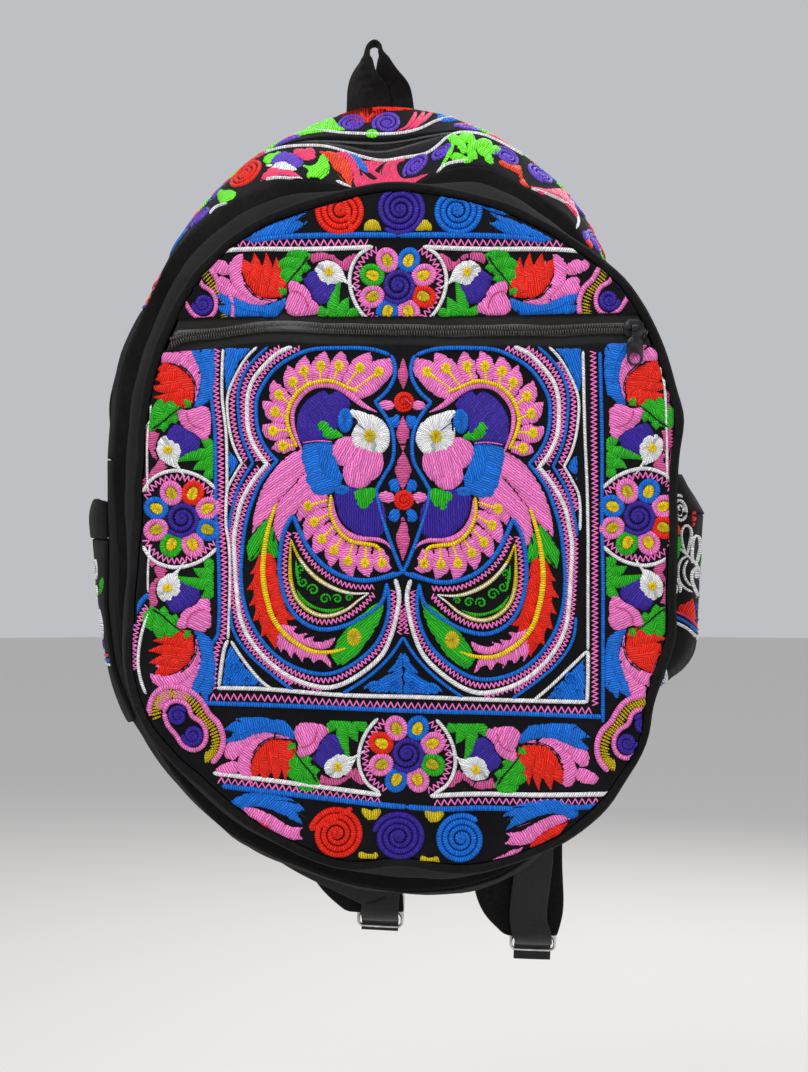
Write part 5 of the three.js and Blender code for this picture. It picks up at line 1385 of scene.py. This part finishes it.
put = back_strip
put.satin("lime", [(293, 137, 1), (304, 128), (318, 123), (332, 118), (338, 124), (346, 130, 1),
    (330, 131), (314, 133)], 60, lift=1.1)
put.band("lime", [(306, 131), (318, 126), (331, 123)], [1.5, 3, 1.5], lift=0.5, up=0.9)
round_spiral(back_strip, back_laid, "violet", 352, 124, 15, squash=1.45)
round_spiral(back_strip, back_laid, "violet", 387, 123, 16, squash=1.45)
put.disc("lime", 372, 134, 6.5, 4.2)
put.band("red", [(338, 116), (352, 111), (370, 109), (390, 109), (410, 109), (432, 110)], [3, 6, 7,
    7, 6, 3], lift=1.0)
put.band("red", [(361, 113), (367, 120), (373, 113)], 5, lift=1.0)
for path in ([(397, 131), (409, 125), (416, 112)], [(405, 131), (415, 124), (424, 112)],
             [(412, 130), (421, 122), (432, 112)]):
    put.band("hot", path, [2, 6.5, 4], lift=1.1)
put.satin("blue", [(436, 114, 1), (446, 115), (459, 120, 1), (446, 122), (438, 120)], 20)

def carry_on(seen, laid, piece, px, way, count):
    """The same coils and leaves repeated along a strip's stretch that the photograph hides."""
    start = seen.flat([px])[0][0] * 2
    depth = points_of(piece.data)[:, 1]
    low, high = depth.min() * 2, depth.max() * 2
    middle, tall = (low + high) / 2, (high - low) / 2
    for k in range(count):
        at = start + way * (14 + 44 * k)
        own = laid.moved(lambda u, v: (at + way * u, middle + v * tall / 34))
        own.spiral(("violet", "red", "blue")[k % 3], 0, -8, 15, 2.6, lift=1.0)
        lobes(own, "lime", [(16, 20), (22, 12), (26, 4)], [(4, 26), (10, 14), (17, -2)], 9.0)
        lobes(own, "hot", [(30, -24), (30, -12), (28, 2)], [(14, -24), (17, -13), (36, 14)], 8.0)
        own.satin("orange", [(-12, 14, 1), (-4, 12), (4, 16), (2, 26, 1), (-8, 24)], 40)


carry_on(front_strip, front_laid, cloth["arch_strip_front"], (583, 236), 1, 3)
carry_on(front_strip, front_laid, cloth["arch_strip_front"], (148, 306), -1, 2)
carry_on(back_strip, back_laid, cloth["arch_strip_back"], (455, 118), 1, 5)
carry_on(back_strip, back_laid, cloth["arch_strip_back"], (300, 134), -1, 5)

# cords along the seams: white beside both edges of the main zip and along the front seam
for needle, line in (
    (back_strip, [(291, 137), (303, 133), (320, 131), (340, 133), (360, 134), (384, 134.5),
                  (404, 133), (420, 129), (437, 121), (452, 118), (466, 119)]),
    (front_strip, [(250, 161), (263, 154), (282, 148), (304, 146), (326, 147), (345, 152),
                   (361, 157), (382, 161), (404, 158), (426, 154), (438, 146), (447, 138),
                   (461, 133), (482, 135), (497, 141), (510, 148), (525, 157), (540, 166)]),
    (front_strip, [(210, 214), (217, 207), (228, 204)]),
    (front_strip, [(266, 180), (280, 178), (303, 181)]),
    (front_strip, [(336, 181), (348, 187), (352, 189)]),
    (front_strip, [(436, 176), (443, 167), (452, 163), (470, 161)]),
    (front_strip, [(531, 189), (553, 197), (570, 207), (578, 219), (576, 229)]),
):
    needle.band("white", line, 2.8, lift=1.1, up=0.1, slant=0.9, sections=5)


# The side pockets' bands of white scrolls

class Flank(Ground):
    """The outer side of a side pocket: x in the drawing runs to the front of the bag and y
    down, in half millimetres from the patch's middle."""

    def __init__(self, piece, side, middle):
        super().__init__(piece)
        self.side, self.middle = side, middle

    def flat(self, px):
        return np.asarray(px, float) * (0.5, -0.5)

    def ray(self, q):
        start = Vector((300.0 * self.side, self.middle[0] - q[0], self.middle[1] + q[1])) * MM
        return start, Vector((-self.side, 0, 0)), start


def side_patch(side, first, last):
    """White coils and paired leaves on black with a pink, blue and white border below, on the
    side of the pocket from first to last, in millimetres forward of its middle."""
    name = "side_pocket_" + ("right" if side > 0 else "left")
    p = points_of(cloth[name].data)
    middle = ((p[:, 1].min() + p[:, 1].max()) / 2, p[:, 2].max() - 38)
    put = Needle(Flank(cloth[name], side, middle), name + "_patch",
                 lambda x, y: (x * 2, y * 1.6))
    for k, x in enumerate(np.arange(first + 9, last - 6, 16.0)):
        if k % 2 == 0:
            put.spiral("white", x, 14, 7.4, 2.5, width=3.6, hand=1, lift=0.9)
            put.spiral("white", x, -26, 5.6, 2.0, width=3.4, hand=-1, start=90, lift=0.9)
            for s in (1, -1):
                put.band("white", [(x, 3), (x + 6 * s, -2), (x + 7 * s, -10),
                                   (x + 2.4 * s, -14), (x + 2.6 * s, -7), (x, 1)], 3.2,
                         lift=0.9)
        else:
            put.spiral("white", x, -12, 5.0, 1.8, width=3.4, hand=-1, lift=0.9)
            for s in (1, -1):
                put.band("white", [(x, 21), (x + 6.5 * s, 14), (x + 6 * s, 4), (x + s, 0),
                                   (x + 2.4 * s, 8), (x, 18)], 3.2, lift=0.9)
                put.band("white", [(x, -20), (x + 4 * s, -24), (x + 3 * s, -31), (x, -33)],
                         3.0, lift=0.9)
            put.satin("red", [(x - 7, 22), (x - 2, 18), (x, 24), (x - 5, 26)], 40, lift=0.8)
            put.satin("purple", [(x + 7, 22), (x + 2, 18), (x + 1, 24), (x + 5, 26)], 140,
                      lift=0.8)
        put.satin("green", [(x + 7, -18), (x + 10, -22), (x + 10, -13), (x + 7, -10)], 60,
                  lift=0.8)
    for colour, y, width in (("hot", 29.5, 3.4), ("blue", 32.5, 4.0), ("white", 35.5, 3.6)):
        put.band(colour, [(first, y), ((first + last) / 2, y + 0.6), (last, y)], width,
                 lift=0.9, slant=0.8)


side_patch(-1, -34, 34)
side_patch(1, -34, 12)
right_patch = Needle(Seen(cloth["side_pocket_right"], cloth["side_pocket_hem_right"]),
                     "right_patch")
put = right_patch
oval_spiral(put, "white", 680, 509, 14.5, 8.2, 78, 2.6)
put.satin("red", [(694, 510), (697, 514), (696, 523), (693, 528), (692, 518)], 80)
put.satin("orange", [(671, 524), (677, 523), (681, 530), (678, 536), (671, 537)], 60)
put.satin("green", [(671, 538), (681, 537), (681, 548), (676, 562), (670, 560)], 40)
put.satin("red", [(666, 558), (671, 564), (666, 568)], 40)
for loop in ([(686, 555), (682, 542), (682, 530), (687, 525), (691, 532), (689, 545), (687, 555)],
             [(692, 563), (692, 548), (694, 537), (698, 536), (700, 545), (698, 556), (696, 564)],
             [(688, 556), (681, 560), (678, 572), (681, 584), (692, 592)],
             [(688, 560), (684, 568), (685, 578), (691, 586)],
             [(698, 566), (692, 572), (692, 582), (699, 598)],
             [(679, 548), (688, 556), (698, 568), (699, 580)]):
    put.band("white", loop, 2.8, lift=1.0, sections=5)
put.spiral("white", 667, 588, 15.6, 3.0, width=3.6, start=20, lift=1.0)
put.satin("red", [(678, 606), (688, 602), (692, 597, 1), (695, 610), (694, 621), (680, 613)], 60)
put.satin("purple", [(695, 602), (698, 606), (699, 618), (696, 623), (694, 612)], 90)
for colour, line, width in (
        ("hot", [(661, 609), (677, 612), (690, 619), (697, 627)], 3.0),
        ("blue", [(660, 614), (676, 617), (689, 624), (697, 632)], 3.6),
        ("white", [(660, 619), (674, 622), (688, 629), (697, 638)], 3.4),
        ("white", [(655, 664), (664, 668), (666, 678), (661, 692)], 3.6),
        ("blue", [(652, 667), (659, 671), (661, 680), (657, 692)], 3.2),
        ("hot", [(649, 670), (655, 675), (656, 684), (652, 693)], 3.2)):
    put.band(colour, line, width, lift=1.0, slant=0.8)


# The sewing machine's seams on the plain black cloth

class Behind(Ground):
    """The back of the bag, in millimetres as x and z."""
    tucks = False

    def flat(self, px):
        return np.asarray(px, float)

    def ray(self, q):
        start = Vector((q[0], 200.0, q[1])) * MM
        return start, Vector((0, -1, 0)), start


def run_stitch(needle, line):
    """A machine seam: short stitches in a row, each sunk at its ends."""
    spots, _ = Face.walk(np.array(line, float), 3.4)
    for a, b in zip(spots[:-1], spots[1:]):
        way = (b - a) * 0.36
        middle = (a + b) / 2
        needle.band("seam", [tuple(middle - way), tuple(middle), tuple(middle + way)], 1.7,
                    lift=0.35, sections=3, straight=True)


def rows_of(piece, low, high, step=6.0):
    """The left and right edges of a piece at each height, in millimetres."""
    p = points_of(piece.data)
    found = []
    for z in np.arange(low, high, step):
        near = p[np.abs(p[:, 2] - z) < step * 0.7]
        if len(near) > 3:
            found.append((z, near[:, 0].min(), near[:, 0].max()))
    return np.array(found)


for side in ("left", "right"):
    piece = cloth["shoulder_strap_" + side]
    p = points_of(piece.data)
    put = Needle(Behind(piece), "strap_seam_" + side)
    rows = rows_of(piece, p[:, 2].min() + 12, p[:, 2].max() - 5)
    for column, inset in ((1, 4.5), (2, -4.5)):
        run_stitch(put, np.stack([rows[:, column] + inset, rows[:, 0]], 1))
    # the box and cross that hold the strap's top end
    z, left, right = rows[-1][0], rows[-1][1] + 5, rows[-1][2] - 5
    box = [(left, z), (right, z), (right, z - 26), (left, z - 26), (left, z)]
    run_stitch(put, box)
    run_stitch(put, [(left, z), (right, z - 26)])
    run_stitch(put, [(right, z), (left, z - 26)])
piece = cloth["back_panel"]
p = points_of(piece.data)
rows = rows_of(piece, p[:, 2].min() + 14, p[:, 2].max() - 10, 8.0)
put = Needle(Behind(piece), "back_seam")
run_stitch(put, np.vstack([np.stack([rows[:, 1] + 6, rows[:, 0]], 1),
                           np.stack([rows[::-1, 2] - 6, rows[::-1, 0]], 1)]))

finish_work()


# The zips' teeth

def teeth(name, points, normals, wide=5.2):
    """Two rows of moulded coil crossing at the middle of the tape."""
    line, run = Face.walk(points, 1.3 / 2)
    up = np.stack([np.interp(run, np.linspace(0, run[-1], len(normals)), normals[:, k])
                   for k in range(3)], 1)
    way = np.gradient(line, axis=0)
    way /= np.linalg.norm(way, axis=1)[:, None]
    up = up - way * (up * way).sum(1)[:, None]
    up /= np.linalg.norm(up, axis=1)[:, None]
    side = np.cross(way, up)
    verts, faces = [], []
    for i in range(1, len(line) - 1):
        s = 1 if i % 2 else -1
        start = len(verts)
        for t, lift, fat in ((-0.10, 0.1, 0.32), (0.12, 0.55, 0.5), (0.40, 0.7, 0.5),
                             (0.75, 0.45, 0.5), (1.0, -0.2, 0.36)):
            mid = line[i] + side[i] * s * t * wide / 2 + up[i] * lift * 1.1
            for k in range(6):
                a = math.pi * k / 3
                verts.append(mid + way[i] * math.cos(a) * fat + up[i] * math.sin(a) * fat)
        for j in range(4):
            for k in range(6):
                a, b = start + j * 6 + k, start + j * 6 + (k + 1) % 6
                faces.append((a, b, b + 6, a + 6))
        faces.append(tuple(start + k for k in range(5, -1, -1)))
        faces.append(tuple(start + 24 + k for k in range(6)))
    new_piece(name, verts, faces, TEETH_PAINTED_GLINTS)


def coil_line(node, key, gap):
    """The middle line of a CAD coil, station by station in order along it, smoothed."""
    co = points_of(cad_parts[node].data)
    order = key(co)
    co = co[np.argsort(order)]
    order = np.sort(order)
    breaks = np.flatnonzero(np.diff(order) > gap) + 1
    spots = np.array([(g.max(0) + g.min(0)) / 2 for g in np.split(co, breaks)])
    for _ in range(4):
        spots[1:-1] = (spots[:-2] + 2 * spots[1:-1] + spots[2:]) / 4
    return curve(spots, False, 2.0)


line = coil_line("pocket_zip_coil", lambda c: c[:, 0], 1.0)
facing = np.tile((0.0, -1.0, 0.0), (len(line), 1))
teeth("pocket_zip_teeth", line + facing * 1.25, facing)
line = coil_line("main_zip_coil", lambda c: np.arctan2(c[:, 2] - CENTRE_Z, c[:, 0] - CENTRE_X), 0.006)
outward = line - (CENTRE_X, 0, CENTRE_Z)
outward[:, 1] = 0
outward /= np.linalg.norm(outward, axis=1)[:, None]
teeth("main_zip_teeth", line + outward * 1.4, outward, wide=6.4)


# Stage, light and camera

def lamp(name, at, aim, size, watts):
    data = bpy.data.lights.new(name, "AREA")
    data.shape = "RECTANGLE"
    data.size, data.size_y = size
    data.energy = watts
    obj = link(name, data)
    obj.location = at
    obj.rotation_euler = (Vector(aim) - Vector(at)).to_track_quat("-Z", "Y").to_euler()


def floor():
    """A wide pale floor under the hanging bag."""
    ring = [(9 * math.cos(t), 9 * math.sin(t), -0.78) for t in np.linspace(0, 2 * math.pi, 49)[:-1]]
    mesh = bpy.data.meshes.new("floor")
    mesh.from_pydata(ring, [], [tuple(range(len(ring)))])
    mesh.materials.append(plain("pale_floor", (226, 224, 220)))
    link("floor", mesh)


floor()
lamp("key", (-0.55, -1.5, 0.75), (0, 0, -0.25), (0.9, 0.9), 15)
lamp("fill", (1.1, -1.2, -0.1), (0, 0, -0.28), (1.2, 1.2), 4)
lamp("top", (0.0, -0.35, 0.95), (0, 0, -0.2), (0.9, 0.6), 8)
lamp("back", (0.5, 1.6, 0.7), (0, 0, -0.28), (1.2, 1.2), 16)
world = bpy.data.worlds.new("studio")
bpy.context.scene.world = world
world.use_nodes = True
world.node_tree.nodes["Background"].inputs["Color"].default_value = (0.95, 0.96, 1.0, 1)
world.node_tree.nodes["Background"].inputs["Strength"].default_value = 0.55

bpy.context.scene.view_settings.view_transform = "Standard"
lens = bpy.data.cameras.new("camera")
lens.sensor_fit = "AUTO"
lens.sensor_width = 36.0
lens.lens = 18.0 / math.tan(FIELD / 2)
lens.clip_end = 30
camera = link("camera", lens)
camera.location = [v * MM for v in CAMERA]
camera.rotation_euler = (math.pi / 2, 0, 0)
bpy.context.scene.camera = camera
